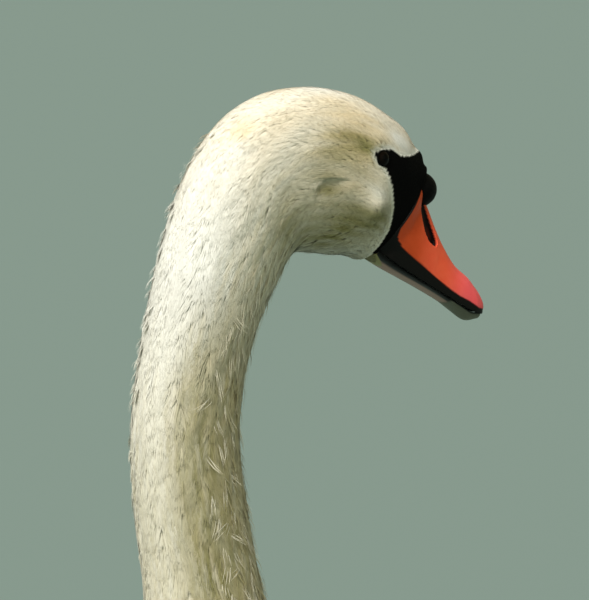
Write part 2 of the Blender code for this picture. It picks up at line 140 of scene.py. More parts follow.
def between(ends, share):
    return ends[0] + (ends[1] - ends[0]) * share


def fullTurn(count):
    return np.linspace(0, 2 * np.pi, count, endpoint=False)


def pairs(first, second):
    # Every value of the first with every value of the second, as two long lists.
    return (numbers.ravel() for numbers in np.meshgrid(first, second, indexing="ij"))


def middleOf(node):
    low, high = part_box(node)
    return np.array((low + high) / 2)


bodyRows = np.array(list(bodyStations.values()), float)
bodyKnots = knotsOf(bodyRows)
bodyNames = list(bodyStations)
coatKnots = np.array([bodyKnots[bodyNames.index(name)] for name in coatAlong])
coatRows = np.array(list(coatAlong.values()), float)


def stationAt(name):
    return bodyKnots[bodyNames.index(name)]


def coatAt(along, column):
    # 0 depth, 1 length, 2 width, 3 spacing of the feathers at each distance along the body
    return np.interp(along, coatKnots, coatRows[:, column])


# Soft swellings and hollows of the head: centre x, side, z, radius and height.
reliefSharp = 1.6  # how fast each of them falls off
headRelief = {
    "eyeSocket": (0.3235, 0.029, 0.7312, 0.0085, -0.0022),
    "brow": (0.3215, 0.026, 0.7435, 0.0075, 0.0010),
    "overEye": (0.3085, 0.028, 0.7400, 0.0080, -0.0020),
    "temple": (0.2950, 0.030, 0.7450, 0.0080, -0.0008),
    "cheekSpot": (0.3185, 0.029, 0.7000, 0.0085, 0.0056),
    "jaw": (0.2900, 0.030, 0.6760, 0.0120, 0.0008),
    "lores": (0.3420, 0.022, 0.7080, 0.0100, -0.0012),
    "gape": (0.3230, 0.022, 0.6760, 0.0060, -0.0010),
    "foreBump": (0.3655, 0.000, 0.7265, 0.0085, 0.0062),
}
# The fold behind the cheek, as (x, z) from over the ear down to the throat: in front of it and
# under it the surface drops by its height, and comes back within its reach.
cheekFold = {
    "line": ((0.2960, 0.7180), (0.2880, 0.7200), (0.2800, 0.7205), (0.2730, 0.7190), (0.2690, 0.7150),
             (0.2675, 0.7100), (0.2660, 0.7040)),
    "height": 0.0028, "edge": 0.0012, "reach": 0.0100, "rear": 0.24, "front": 0.31, "floor": 0.67,
}


def foldDistance(points):
    # Distance to the nearest piece of the fold's line, positive on its cheek side, and how far
    # along the line the nearest place is, from 0 to 1.
    line = np.array(cheekFold["line"])
    flat = np.stack([points[..., 0], points[..., 2]], axis=-1)[..., None, :]
    start, step = line[:-1], np.diff(line, axis=0)
    share = np.clip(np.sum((flat - start) * step, axis=-1) / np.sum(step * step, axis=-1), 0, 1)
    away = flat - start - share[..., None] * step
    reach = np.linalg.norm(away, axis=-1)
    nearest = np.argmin(reach, axis=-1)[..., None]
    side = step[:, 0] * away[..., 1] - step[:, 1] * away[..., 0]
    signed = np.take_along_axis(reach * np.sign(side), nearest, axis=-1)[..., 0]
    placed = np.take_along_axis(share, nearest, axis=-1)[..., 0] + nearest[..., 0]
    return signed, placed / len(step)


def reliefAt(points):
    # Sum of bells over each centre, the same on both sides, then the fold behind the cheek.
    total = np.zeros(points.shape[:-1])
    for x, side, z, radius, height in headRelief.values():
        away = (
            (points[..., 0] - x) ** 2
            + (np.abs(points[..., 1]) - side) ** 2
            + (points[..., 2] - z) ** 2
        )
        total += height * np.exp(-away / (2 * radius * radius) * reliefSharp)
    near = (points[..., 0] > cheekFold["rear"]) & (points[..., 0] < cheekFold["front"])
    near &= points[..., 2] > cheekFold["floor"]
    signed, placed = foldDistance(points[near])
    drop = smoothStep(-cheekFold["edge"], cheekFold["edge"], signed)
    drop = drop * np.exp(-(signed / cheekFold["reach"]) ** 2)
    ends = smoothStep(0, 0.3, placed) * smoothStep(1, 0.7, placed)
    total[near] -= cheekFold["height"] * drop * ends
    return total


def bodySurface(along, angle, depth=0.0):
    # A ring at each distance along: centre + up or down reach * cos + half width * sin,
    # both rounded to a superellipse, then the head's relief along the spoke. Nothing goes under
    # the floor, where the belly lies flat.
    x, z, lean, up, down, half, egg = smoothThrough(bodyKnots, bodyRows, along).T
    lean = np.radians(lean)
    power = 2 / bodyShape["roundness"]
    cosine = rounded(np.cos(angle), power)
    sine = rounded(np.sin(angle), power)
    reach = np.where(cosine >= 0, up - depth, down - depth) * cosine
    side = (half - depth) * (1 - egg * cosine) * sine
    centre = np.stack([x, np.zeros_like(x), z], axis=-1)
    spoke = np.stack([-np.sin(lean) * reach, side, np.cos(lean) * reach], axis=-1)
    points = centre + spoke
    points = points + unit(spoke) * reliefAt(points)[..., None]
    lowest = bodyShape["floorGap"] + bodyShape["floorShare"] * np.maximum(depth, 0)
    points[..., 2] = np.maximum(points[..., 2], lowest)
    return points


def ringMetric(surface, along, angle):
    # How far one step in each number of the surface goes (and how much of the step round runs
    # tailward), with the tailward and the outward direction.
    stepAlong, stepAngle = 2e-4, 4e-3
    depth = np.zeros_like(along)
    perAlong = surface(along + stepAlong, angle, depth) - surface(along - stepAlong, angle, depth)
    perAlong /= 2 * stepAlong
    perAngle = surface(along, angle + stepAngle, depth) - surface(along, angle - stepAngle, depth)
    perAngle /= 2 * stepAngle
    tailward = -unit(perAlong)
    skew = np.sum(perAngle * tailward, axis=-1)
    straight = perAngle - skew[..., None] * tailward
    girth = np.linalg.norm(straight, axis=-1)
    outward = unit(np.cross(straight, tailward))
    return np.linalg.norm(perAlong, axis=-1), skew, girth, tailward, outward


def scatterRoots(surface, start, end, angles, spacingAt, keep=None, jitter=0.42):
    # Rows along the body, each with one root every spacing round it, shaken, and thinned where
    # the rows crowd together.
    fine = np.linspace(start, end, 400)
    around = np.linspace(angles[0], angles[1], 49)
    gridAlong, gridAngle = np.meshgrid(fine, around, indexing="ij")
    stretch, _, girth, _, _ = ringMetric(surface, gridAlong.ravel(), gridAngle.ravel())
    stretch = stretch.reshape(gridAlong.shape)
    girth = girth.reshape(gridAlong.shape)
    widest = stretch.max(axis=1)
    density = widest / spacingAt(fine)
    rowsUpTo = np.concatenate([[0], np.cumsum((density[1:] + density[:-1]) / 2 * np.diff(fine))])
    rowCount = int(rowsUpTo[-1])
    rowAlong = np.interp(np.arange(rowCount) + 0.5, rowsUpTo, fine)
    girthAt = np.array([np.interp(rowAlong, fine, girth[:, k]) for k in range(len(around))]).T
    length = girthAt.mean(axis=1) * (angles[1] - angles[0])
    perRow = np.maximum((length / spacingAt(rowAlong)).astype(int), 3)
    row = np.repeat(np.arange(rowCount), perRow)
    within = np.arange(len(row)) - np.repeat(np.cumsum(perRow) - perRow, perRow)
    share = (within + 0.5 * (row % 2) + 0.25) / perRow[row]
    # equal steps of real distance round the ring, not equal steps of angle
    evened = np.cumsum((girthAt[:, 1:] + girthAt[:, :-1]) / 2, axis=1)
    evened = np.concatenate([np.zeros((rowCount, 1)), evened / evened[:, -1:]], axis=1)
    place = row + share
    angle = np.interp(place, (np.arange(rowCount)[:, None] + evened * 0.999999).ravel(),
                      np.broadcast_to(around, evened.shape).ravel())
    along = rowAlong[row]
    gap = spacingAt(along)
    stretchHere, _, girthHere, _, _ = ringMetric(surface, along, angle)
    crowded = rng.random(len(along)) < stretchHere / np.interp(along, fine, widest)
    along = along + rng.uniform(-jitter, jitter, len(along)) * gap / stretchHere
    angle = angle + rng.uniform(-jitter, jitter, len(along)) * gap / girthHere
    along = np.clip(along, start, end)
    if keep is not None:
        crowded &= keep(along, angle)
    return along[crowded], angle[crowded]


def waves(count, alongLength, roundLength, girth=0.036):
    # A soft random field on the surface: a sum of cosines, with whole turns round the body.
    heading = rng.uniform(-1, 1, count)
    kAlong = 2 * np.pi / alongLength * heading
    turns = 2 * np.pi * girth / roundLength * rng.uniform(0.55, 1.35, count) * rng.choice([-1, 1], count)
    turns = np.round(turns)
    phase = rng.uniform(0, 2 * np.pi, count)

    def field(along, angle):
        turn = along[:, None] * kAlong + angle[:, None] * turns + phase
        return np.cos(turn).sum(axis=1) / math.sqrt(count / 2)

    return field


# One blade of each kind: its steps from root to tip, how wide it is at each, how many points lie
# across it, and how far its sides stay behind at the tip. The last step is the point.
bladeShapes = {
    "strand": {"steps": (0.0, 0.30, 0.66, 1.0), "widths": (0.30, 1.0, 0.74, 0.0), "across": 2},
    "vane": {
        "steps": (0.0, 0.20, 0.46, 0.72, 0.88, 0.955, 1.0),
        "widths": (0.34, 0.74, 0.98, 1.0, 0.96, 0.90, 0.0), "across": 9, "round": 0.20,
    },
    "scale": {
        "steps": (0.0, 0.24, 0.56, 0.82, 0.93, 1.0),
        "widths": (0.34, 0.80, 1.0, 0.98, 0.90, 0.0), "across": 7, "round": 0.16,
    },
    "quill": {
        "steps": (0.0, 0.12, 0.28, 0.45, 0.62, 0.77, 0.88, 0.95, 0.985, 1.0),
        "widths": (0.42, 0.82, 0.98, 1.0, 1.0, 0.98, 0.94, 0.88, 0.84, 0.0), "across": 9, "round": 0.10,
    },
}


def bladeTemplate(shape):
    # The step, the place across and the width share of each point of one blade, and its faces:
    # squares between rows, then one pointed fringe between each two columns of the last row.
    steps, widths = np.array(shape["steps"]), np.array(shape["widths"])
    columns = np.linspace(-1, 1, shape["across"])
    wide = len(columns)
    rows, across = np.meshgrid(steps[:-1], columns, indexing="ij")
    trimmed = shape.get("round", 0.0) * smoothStep(0.3, 1.0, rows) * across ** 2
    step = (rows - trimmed).ravel()
    across, profile = across.ravel(), np.repeat(widths[:-1], wide)
    middle = (columns[1:] + columns[:-1]) / 2
    endStep = 1 - shape.get("round", 0.0) * middle ** 2
    endProfile = widths[-2] * (1.04 if wide > 2 else 0.0)
    last = (len(steps) - 2) * wide
    cell = np.arange((len(steps) - 2) * wide).reshape(len(steps) - 2, wide)
    corner = cell[:, :-1].ravel()
    squares = np.stack([corner, corner + 1, corner + 1 + wide, corner + wide], axis=1)
    fan = np.arange(wide - 1)
    fans = np.stack([last + fan, last + fan + 1, last + wide + fan], axis=1)
    return (np.append(step, endStep), np.append(across, middle),
            np.append(profile, np.full(wide - 1, endProfile)), squares, fans)


bakePatch = 0.003  # half the size of each blade's patch of the baked image


def layBlades(name, shape, surface, root, heading, length, width, depths, bend, coat, patchRange,
              rise, arch=0.0, shading=None, roll=0.0, ragged=0.0, mirrored=False,
              limits=(bodyKnots[0], bodyKnots[-1]), chance=None):
    # Each feather is the blade shape laid in the surface from its root: steps along the lie and
    # across it become steps in the two numbers of the surface. The depth under the outer surface
    # goes from the root's to the tip's as 1 - (1 - step) ^ rise. With shading, its normals are the
    # surface's, rounded across the blade, leant sideways and tailwards, so that many shade as one.
    along, angle = root
    step, across, profile, squares, fans = bladeTemplate(bladeShapes[shape])
    count, points = len(along), len(step)
    length, width = np.broadcast_to(length, count), np.broadcast_to(width, count)
    rootDepth, tipDepth = (np.broadcast_to(depth, count) for depth in depths)
    forward = length[:, None] * step * (1 - 0.06 * (across * profile) ** 2)
    if ragged > 0:
        shake = rng.uniform(-1, 1, (count, points)) * smoothStep(0.35, 0.8, step)
        shake = shake * (0.3 + 0.7 * np.abs(across))
        forward = forward + ragged * shake * width[:, None]
    sideways = width[:, None] / 2 * across * profile + (bend * length)[:, None] * step ** 2
    cosine, sine = np.cos(heading)[:, None], np.sin(heading)[:, None]
    tail = forward * cosine - sideways * sine
    side = forward * sine + sideways * cosine
    stretch, skew, girth, tailward, outward = ringMetric(surface, along, angle)
    tipAlong = np.clip(along - length * np.cos(heading) / stretch, *limits)
    tipAngle = angle + length * np.sin(heading) / girth
    _, _, girthTip, _, outwardTip = ringMetric(surface, tipAlong, tipAngle)
    girthTip = np.clip(girthTip, 0.35 * girth, 3 * girth)
    stepAngle = side / (girth[:, None] * (1 - step) + girthTip[:, None] * step)
    stepAlong = (stepAngle * skew[:, None] - tail) / stretch[:, None]
    lift = 1 - (1 - step) ** rise
    depth = rootDepth[:, None] + (tipDepth - rootDepth)[:, None] * lift
    depth = depth - arch * width[:, None] * (1 - across ** 2) * profile + roll * across * profile
    allAlong = np.clip(along[:, None] + stepAlong, *limits)
    allAngle = angle[:, None] + stepAngle
    cloud = surface(allAlong.ravel(), allAngle.ravel(), depth.ravel())
    normals = None
    if shading is not None:
        crossing = -sine * tailward + cosine * np.cross(outward, -tailward)
        downward = cosine * tailward + sine * np.cross(outward, -tailward)
        sideLean = shading["lean"][:, None] + shading["round"] * across
        tipLean = shading["tipLean"] * (step - 0.5) + shading["pitch"][:, None]
        normals = (outward[:, None] * (1 - step)[None, :, None] + outwardTip[:, None] * step[None, :, None]
                   + sideLean[..., None] * crossing[:, None] + tipLean[..., None] * downward[:, None])
        normals = unit(normals).reshape(-1, 3)

    offset = (np.arange(count) * points)[:, None, None]
    squares = (squares[None] + offset).reshape(-1, 4)
    fans = (fans[None] + offset).reshape(-1, 3)

    # each blade has its own small patch, placed by its root
    startAlong, endAlong = patchRange
    u = ((along - startAlong) / (endAlong - startAlong))[:, None] * (1 - 2 * bakePatch) + bakePatch
    v = ((angle / coat.get("turn", 2 * np.pi)) % 1.0)[:, None] * (1 - 2 * bakePatch) + bakePatch
    uv = np.stack([u + bakePatch * (step - 0.5), v + bakePatch * 0.5 * across], axis=-1)
    facts = {
        "tipward": np.broadcast_to(step, (count, points)).ravel(),
        "chance": np.repeat(rng.random(count) if chance is None else chance, points),
    }
    if coat.get("barbed"):
        facts["across"] = np.broadcast_to(across * profile, (count, points)).ravel()
        facts["barbs"] = ((forward - np.abs(sideways) * 0.9) * 1000).ravel()
    seenAt = coat.get("markShare", 0.0)
    marks = coat["marks"](along + (tipAlong - along) * seenAt, angle + (tipAngle - angle) * seenAt)
    for key, value in marks.items():
        facts[key] = np.repeat(value, points)
    faces = [squares, fans]
    if mirrored:
        cloud = cloud * np.array([1, -1, 1])
        normals = normals * np.array([1, -1, 1])
        faces = [face[:, ::-1] for face in faces]
    makePiece(name, cloud, faces, coat["material"], facts, uv.reshape(-1, 2), normals)


def facingOut(points, faces):
    # Turns every face round when the volume that they close comes out negative.
    total = 0.0
    for face in faces:
        corners = points[face]
        for k in range(1, face.shape[1] - 1):
            total += np.sum(corners[:, 0] * np.cross(corners[:, k], corners[:, k + 1]))
    return faces if total > 0 else [face[:, ::-1] for face in faces]


def makePiece(name, points, faces, material, facts=None, uv=None, normals=None):
    # Joins point and face arrays into one mesh piece at the origin, which rides on the bird.
    mesh = bpy.data.meshes.new(name)
    corners = np.concatenate([face.ravel() for face in faces]).astype(np.int32)
    sizes = np.concatenate([np.full(len(face), face.shape[1]) for face in faces])
    starts = np.concatenate([[0], np.cumsum(sizes)[:-1]]).astype(np.int32)
    mesh.vertices.add(len(points))
    mesh.vertices.foreach_set("co", np.asarray(points, np.float32).ravel())
    mesh.loops.add(len(corners))
    mesh.loops.foreach_set("vertex_index", corners)
    mesh.polygons.add(len(starts))
    mesh.polygons.foreach_set("loop_start", starts)
    mesh.update(calc_edges=True)
    mesh.shade_smooth()
    for key, values in (facts or {}).items():
        mesh.attributes.new(key, "FLOAT", "POINT").data.foreach_set("value", np.asarray(values, np.float32))
    if normals is not None:
        given = mesh.attributes.new("custom_normal", "FLOAT_VECTOR", "POINT")
        given.data.foreach_set("vector", np.asarray(normals, np.float32).ravel())
    if uv is not None:
        layer = mesh.uv_layers.new(name="OFBake")
        layer.data.foreach_set("uv", uv[corners].astype(np.float32).ravel())
    mesh.materials.append(material)
    piece = bpy.data.objects.new(name, mesh)
    bpy.context.scene.collection.objects.link(piece)
    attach(piece, "root")
    print(f"{name}: {int(np.sum(sizes - 2))} triangles")
    return piece


def ringFaces(rows, columns, closed=True):
    # Squares of a grid of rows, wrapped round when closed, facing out where rows run forwards
    # and columns run from the top to the left.
    across = columns if closed else columns - 1
    row, column = pairs(np.arange(rows - 1), np.arange(across))
    following = (column + 1) % columns
    return np.stack([row * columns + column, (row + 1) * columns + column,
                     (row + 1) * columns + following, row * columns + following], axis=1)


def capFaces(ring, hub, rearward):
    # A fan from a ring to its hub, facing rearward or forward.
    fan = np.stack([ring, np.roll(ring, -1), np.full(len(ring), hub)], axis=1)
    return fan if rearward else fan[:, ::-1]


def closedFaces(rows, columns):
    # Rings joined in order, and a fan at each end to a hub; the two hubs come after the rings.
    ring = np.arange(columns)
    hub = rows * columns
    return [ringFaces(rows, columns), capFaces(ring, hub, True),
            capFaces(ring + (rows - 1) * columns, hub + 1, False)]


def shellFaces(rows, columns):
    # Two sheets of the same grid, the second one turned over, and the wall round their rims.
    sheet = ringFaces(rows, columns, closed=False)
    total = rows * columns
    rim = np.concatenate([np.arange(columns), np.arange(1, rows) * columns + columns - 1,
                          (rows - 1) * columns + np.arange(columns - 2, -1, -1),
                          np.arange(rows - 2, 0, -1) * columns])
    after = np.roll(rim, -1)
    wall = np.stack([rim, rim + total, after + total, after], axis=1)
    return [sheet, sheet[:, ::-1] + total, wall]


def newMaterial(name):
    material = bpy.data.materials.new(name)
    material.use_nodes = True
    tree = material.node_tree
    return material, tree, tree.nodes["Principled BSDF"]


def attributeOut(tree, key):
    node = tree.nodes.new("ShaderNodeAttribute")
    node.attribute_name = key
    return node.outputs["Fac"]


def mixColour(tree, factor, first, second, blend="MIX"):
    node = tree.nodes.new("ShaderNodeMix")
    node.data_type = "RGBA"
    node.blend_type = blend
    node.clamp_factor = True
    for socket, value in ((node.inputs[0], factor), (node.inputs[6], first), (node.inputs[7], second)):
        if isinstance(value, (int, float)):
            socket.default_value = value
        elif isinstance(value, tuple):
            socket.default_value = (*value, 1.0)
        else:
            tree.links.new(value, socket)
    return node.outputs[2]


def maths(tree, operation, *values):
    node = tree.nodes.new("ShaderNodeMath")
    node.operation = operation
    for socket, value in zip(node.inputs, values):
        if isinstance(value, (int, float)):
            socket.default_value = value
        else:
            tree.links.new(value, socket)
    return node.outputs[0]


def spread(tree, noise, first, second):
    # Most of a noise lies from 0.3 to 0.7: that part runs from the first value to the second.
    node = tree.nodes.new("ShaderNodeMapRange")
    node.interpolation_type = "SMOOTHSTEP"
    for socket, number in zip(node.inputs[1:5], (0.3, 0.7, first, second)):
        socket.default_value = number
    tree.links.new(noise, node.inputs[0])
    return node.outputs[0]


def noiseOut(tree, scale, detail=3.0):
    place = tree.nodes.new("ShaderNodeTexCoord")
    node = tree.nodes.new("ShaderNodeTexNoise")
    node.inputs["Scale"].default_value = scale
    node.inputs["Detail"].default_value = detail
    node.inputs["Roughness"].default_value = 0.55
    tree.links.new(place.outputs["Object"], node.inputs["Vector"])
    return node.outputs["Fac"]


def bumpOn(tree, shader, height, distance):
    bump = tree.nodes.new("ShaderNodeBump")
    bump.inputs["Distance"].default_value = distance
    tree.links.new(height, bump.inputs["Height"])
    tree.links.new(bump.outputs["Normal"], shader.inputs["Normal"])


plumageColours = {
    "white": (0.870, 0.862, 0.820),
    "tan": (0.800, 0.605, 0.285),
    # olive is the colour of painted shade on the head, neck and chin; on the body it is only a faint cloudy
    # tone
    "olive": (0.330, 0.298, 0.118),
    "cream": (0.820, 0.765, 0.590),
    "down": (0.700, 0.680, 0.580),
}


def plumageGroup():
    # Colour of the plumage from its marks: white, creamed, tanned, then dulled to olive, which is painted
    # shade; a little lighter or darker from feather to feather, and darker at the root, also painted shade.
    tree = bpy.data.node_groups.new("PlumageColour", "ShaderNodeTree")
    for key, default in (("Cream", 0.0), ("Tan", 0.0), ("Olive", 0.0), ("Chance", 0.5),
                         ("Tipward", 1.0), ("RootShade", 0.3), ("Vary", 0.1)):
        socket = tree.interface.new_socket(key, in_out="INPUT", socket_type="NodeSocketFloat")
        socket.default_value = default
    tree.interface.new_socket("Colour", in_out="OUTPUT", socket_type="NodeSocketColor")
    given = tree.nodes.new("NodeGroupInput").outputs
    colour = mixColour(tree, given["Cream"], plumageColours["white"], plumageColours["cream"])
    colour = mixColour(tree, given["Tan"], colour, plumageColours["tan"])
    colour = mixColour(tree, given["Olive"], colour, plumageColours["olive"])
    away = maths(tree, "SUBTRACT", given["Chance"], 0.5)
    shift = maths(tree, "MULTIPLY_ADD", away, given["Vary"], 1.0)
    # darker towards the root: painted shade of the feathers that lie over it
    rootward = maths(tree, "SUBTRACT", 1.0, given["Tipward"])
    rootward = maths(tree, "POWER", rootward, 1.5)
    darker = maths(tree, "MULTIPLY", rootward, given["RootShade"])
    level = maths(tree, "SUBTRACT", shift, darker)
    grey = tree.nodes.new("ShaderNodeCombineColor")
    for socket in grey.inputs:
        tree.links.new(level, socket)
    colour = mixColour(tree, 1.0, colour, grey.outputs[0], "MULTIPLY")
    tree.links.new(colour, tree.nodes.new("NodeGroupOutput").inputs["Colour"])
    return tree


plumageNodes = plumageGroup()


def placePlumage(tree, rootShade, vary, feather=True):
    group = tree.nodes.new("ShaderNodeGroup")
    group.node_tree = plumageNodes
    for key in ("Cream", "Tan", "Olive"):
        tree.links.new(attributeOut(tree, key.lower()), group.inputs[key])
    if feather:
        tree.links.new(attributeOut(tree, "chance"), group.inputs["Chance"])
        tree.links.new(attributeOut(tree, "tipward"), group.inputs["Tipward"])
    group.inputs["RootShade"].default_value = rootShade
    group.inputs["Vary"].default_value = vary
    return group.outputs["Colour"]


# Looks of the three coats: how dark the roots are (painted shade), how much the feathers differ, how fast
# the barbs' waves turn (radians a millimetre, 0 for none) and how light they are: the neck's lower level
# and the body's much lower one are painted shade, for the self-shadowing that their smoother feathers lack.
featherLooks = {
    "HeadFeather": (0.05, 0.15, 0.0, 1.0),
    "NeckFeather": (0.06, 0.09, 0.0, 0.93),
    "BodyFeather": (0.08, 0.07, 5.2, 0.70),
}
featherFinish = {"Roughness": 0.62, "Specular IOR Level": 0.30, "Sheen Weight": 0.12, "Sheen Roughness": 0.45}


def featherMaterial(name):
    rootShade, vary, barbs, level = featherLooks[name]
    material, tree, shader = newMaterial(name)
    plumage = placePlumage(tree, rootShade, vary)
    # the level darkens the whole coat as painted shade
    colour = mixColour(tree, 1.0, plumage, (level, level, level), "MULTIPLY")
    tree.links.new(colour, shader.inputs["Base Color"])
    for socket, value in featherFinish.items():
        shader.inputs[socket].default_value = value
    if barbs > 0:
        turn = maths(tree, "MULTIPLY", attributeOut(tree, "barbs"), barbs)
        wave = maths(tree, "SINE", turn)
        mottled = maths(tree, "MULTIPLY", wave, noiseOut(tree, 260.0))
        bumpOn(tree, shader, mottled, 0.00012)
    return material


def skinMaterial():
    # Down colour under the feathers, black bare skin at the lores.
    material, tree, shader = newMaterial("SwanSkin")
    plumage = placePlumage(tree, 0.0, 0.0, feather=False)
    plumage = mixColour(tree, 0.30, plumage, plumageColours["down"])
    black = attributeOut(tree, "black")
    fine = noiseOut(tree, 900.0, 4.0)
    dark = mixColour(tree, fine, (0.0006, 0.0006, 0.0007), (0.0030, 0.0030, 0.0032))
    tree.links.new(mixColour(tree, black, plumage, dark), shader.inputs["Base Color"])
    tree.links.new(spread(tree, fine, 0.62, 0.85), shader.inputs["Roughness"])
    shader.inputs["Specular IOR Level"].default_value = 0.04
    bumpOn(tree, shader, fine, 0.0005)
    return material


headFeatherLook = featherMaterial("HeadFeather")
neckFeatherLook = featherMaterial("NeckFeather")
bodyFeatherLook = featherMaterial("BodyFeather")
skinLook = skinMaterial()
print("plumage materials made")


# The black face: x of its rear edge at each height, and z of its upper edge at each x.
faceEdge = {
    "rearZ": (0.6600, 0.6690, 0.6730, 0.6830, 0.6910, 0.6970, 0.7040, 0.7140, 0.7240, 0.7270, 0.7325, 0.7360),
    "rearX": (0.3310, 0.3234, 0.3263, 0.3312, 0.3331, 0.3335, 0.3330, 0.3309, 0.3268, 0.3222, 0.3180, 0.3172),
    "topX": (0.3100, 0.3180, 0.3260, 0.3340, 0.3386, 0.3440, 0.3500, 0.3570, 0.3640, 0.3700),
    "topZ": (0.7345, 0.7362, 0.7376, 0.7372, 0.7336, 0.7322, 0.7320, 0.7328, 0.7345, 0.7350),
}


def blackness(points):
    # How far inside the black face a point lies, in metres; negative outside it.
    rear = points[..., 0] - np.interp(points[..., 2], faceEdge["rearZ"], faceEdge["rearX"])
    top = np.interp(points[..., 0], faceEdge["topX"], faceEdge["topZ"]) - points[..., 2]
    return np.minimum(rear, top)


streaks = waves(14, 0.050, 0.0070)
blotches = waves(10, 0.045, 0.030)
margin = waves(12, 0.0030, 0.0024)


# Patches of the head's colour, seen from the side: centre x and z, reach along and across, lean in
# degrees, then tan and olive added there. The olive is painted shade, in the hollows over and behind the
# eye, at the ear, on the cheek, jaw and throat side; the tan is stain, and over the brow also painted shade.
headPatches = {
    "side": (0.2920, 0.7160, 0.0420, 0.0330, 0, 0.30, 0.20),
    "brow": (0.3010, 0.7430, 0.0220, 0.0075, -14, 0.45, 0.60),
    "tongue": (0.3135, 0.7395, 0.0085, 0.0042, -24, 0.20, 1.05),
    "temple": (0.2870, 0.7350, 0.0190, 0.0080, -8, 0.25, 0.46),
    "ear": (0.2800, 0.7145, 0.0095, 0.0070, -35, 0.10, 0.60),
    "cheek": (0.3030, 0.6915, 0.0250, 0.0125, 6, 0.15, 0.80),
    "cheekFore": (0.3215, 0.6930, 0.0080, 0.0110, 0, 0.05, 0.50),
    # painted highlight on the swelling of the cheek: tan and olive taken away
    "spot": (0.3190, 0.7075, 0.0100, 0.0085, -30, -0.25, -1.10),
    "cheekTop": (0.3000, 0.7160, 0.0140, 0.0065, 0, 0.20, -0.30),
    "jaw": (0.2790, 0.6790, 0.0200, 0.0080, 0, 0.10, 0.55),
    "throatSide": (0.2500, 0.6920, 0.0150, 0.0150, 0, 0.15, 0.50),
    "foreCrown": (0.3080, 0.7580, 0.0220, 0.0110, -20, 0.36, 0.0),
    "behindEye": (0.3080, 0.7290, 0.0100, 0.0050, 0, 0.25, 0.10),
    "tanRear": (0.2244, 0.7545, 0.0100, 0.0065, 30, 0.45, 0.0),
    # painted highlight along the forehead's edge by the black face
    "foreEdge": (0.3420, 0.7415, 0.0090, 0.0055, -30, -0.5, -0.10),
}


def plumageMarks(along, angle):
    # Tan on the crown and forehead, fading to the white nape; olive, as painted shade, over and behind the
    # eye, on the cheek, under the head and in streaks down the front and shaded sides of the neck; cream all
    # down the neck. Nothing stains the feathers at the black face's rim.
    points = bodySurface(along, angle)
    up = np.cos(angle)
    streak = 0.5 + 0.28 * streaks(along, angle)
    blotch = 0.5 + 0.25 * blotches(along, angle)
    headward = smoothStep(stationAt("throat"), stationAt("crown"), along)
    front = smoothStep(stationAt("neckRoot"), stationAt("neckLow"), along)
    onTop = smoothStep(-0.05, 0.65, up)
    tan = headward * (0.08 + 0.30 * onTop) * (0.4 + 0.6 * blotch)
    # painted shade under the head
    under = smoothStep(0.35, -0.65, up)
    olive = headward * under * (0.10 + 0.15 * blotch)

    # the neck's painted shade, olive and some tan, from the throat down and most of all on its shaded front
    # and sides
    paintedNeckShade = smoothStep(stationAt("throat"), stationAt("neckSlim"), along)
    # olive down the front of the neck is painted shade; the tan streaks there are stain
    clean = 0.30 * front * (1 - headward)
    olive = olive + clean * (1 - 0.6 * paintedNeckShade) * smoothStep(0.3, -0.9, up) * (0.5 + 0.5 * blotch)
    tan = tan + clean * smoothStep(0.7, -0.2, up) * (0.4 + 0.6 * streak)
    paintedNeckShade = paintedNeckShade * smoothStep(stationAt("breast"), stationAt("neckLow"), along)
    shaded = smoothStep(0.90, 0.42, up) * (1 - 0.65 * smoothStep(0.0, -0.6, up))
    olive = olive + 0.80 * paintedNeckShade * shaded * (0.45 + 0.55 * streak)
    tan = tan + 0.38 * paintedNeckShade * smoothStep(0.90, 0.45, up) * (0.4 + 0.6 * blotch)

    # the head's own patches, which leave its middle line clean
    beside = smoothStep(0.004, 0.020, np.abs(points[..., 1])) * (0.62 + 0.38 * streak)
    for x, z, long, wide, lean, tanHere, oliveHere in headPatches.values():
        cosine, sine = math.cos(math.radians(lean)), math.sin(math.radians(lean))
        ahead = ((points[..., 0] - x) * cosine + (points[..., 2] - z) * sine) / long
        above = ((points[..., 2] - z) * cosine - (points[..., 0] - x) * sine) / wide
        here = np.exp(-ahead ** 2 - above ** 2) * beside
        tan = tan + tanHere * here
        olive = olive + oliveHere * here
    rim = smoothStep(0.0003, 0.0050, -blackness(points))
    cream = 0.10 + 0.95 * front * (0.55 + 0.45 * streak)
    nape = smoothStep(stationAt("neckThird"), stationAt("nape"), along)
    return {
        "tan": np.clip(tan * rim, 0, 1),
        "olive": np.clip(olive * (0.4 + 0.6 * rim), 0, 1),
        "cream": np.clip(cream * (1 - (0.50 + 0.42 * onTop) * nape), 0, 1),
    }


# Rings of the skin, and how far it reaches round the knob and rises to it: all round (fillet), and
# more over its top (bridge).
skinShape = {
    "rows": 470, "around": 168, "headShare": 0.46, "neckShare": 0.24, "fillet": (0.0036, 0.0014),
    "bridge": (0.0045, 0.0022), "ragged": 0.00022, "edge": 0.0003,
}
# The fleshy knob over the bill: how far its middle lies from the CAD's, its three radii and its
# lean in degrees.
knob = {
    "aside": (-0.0005, 0.0, -0.0020), "radii": (0.0134, 0.0112, 0.0120), "lean": 12.0,
    "rows": 120, "around": 160, "fuller": 0.03, "wrinkle": 0.00005, "crease": 0.0003,
    "colours": ((0.0006, 0.0006, 0.0007), (0.0030, 0.0030, 0.0034)),
}
knobMiddle = middleOf("bill_knob") + np.array(knob["aside"])


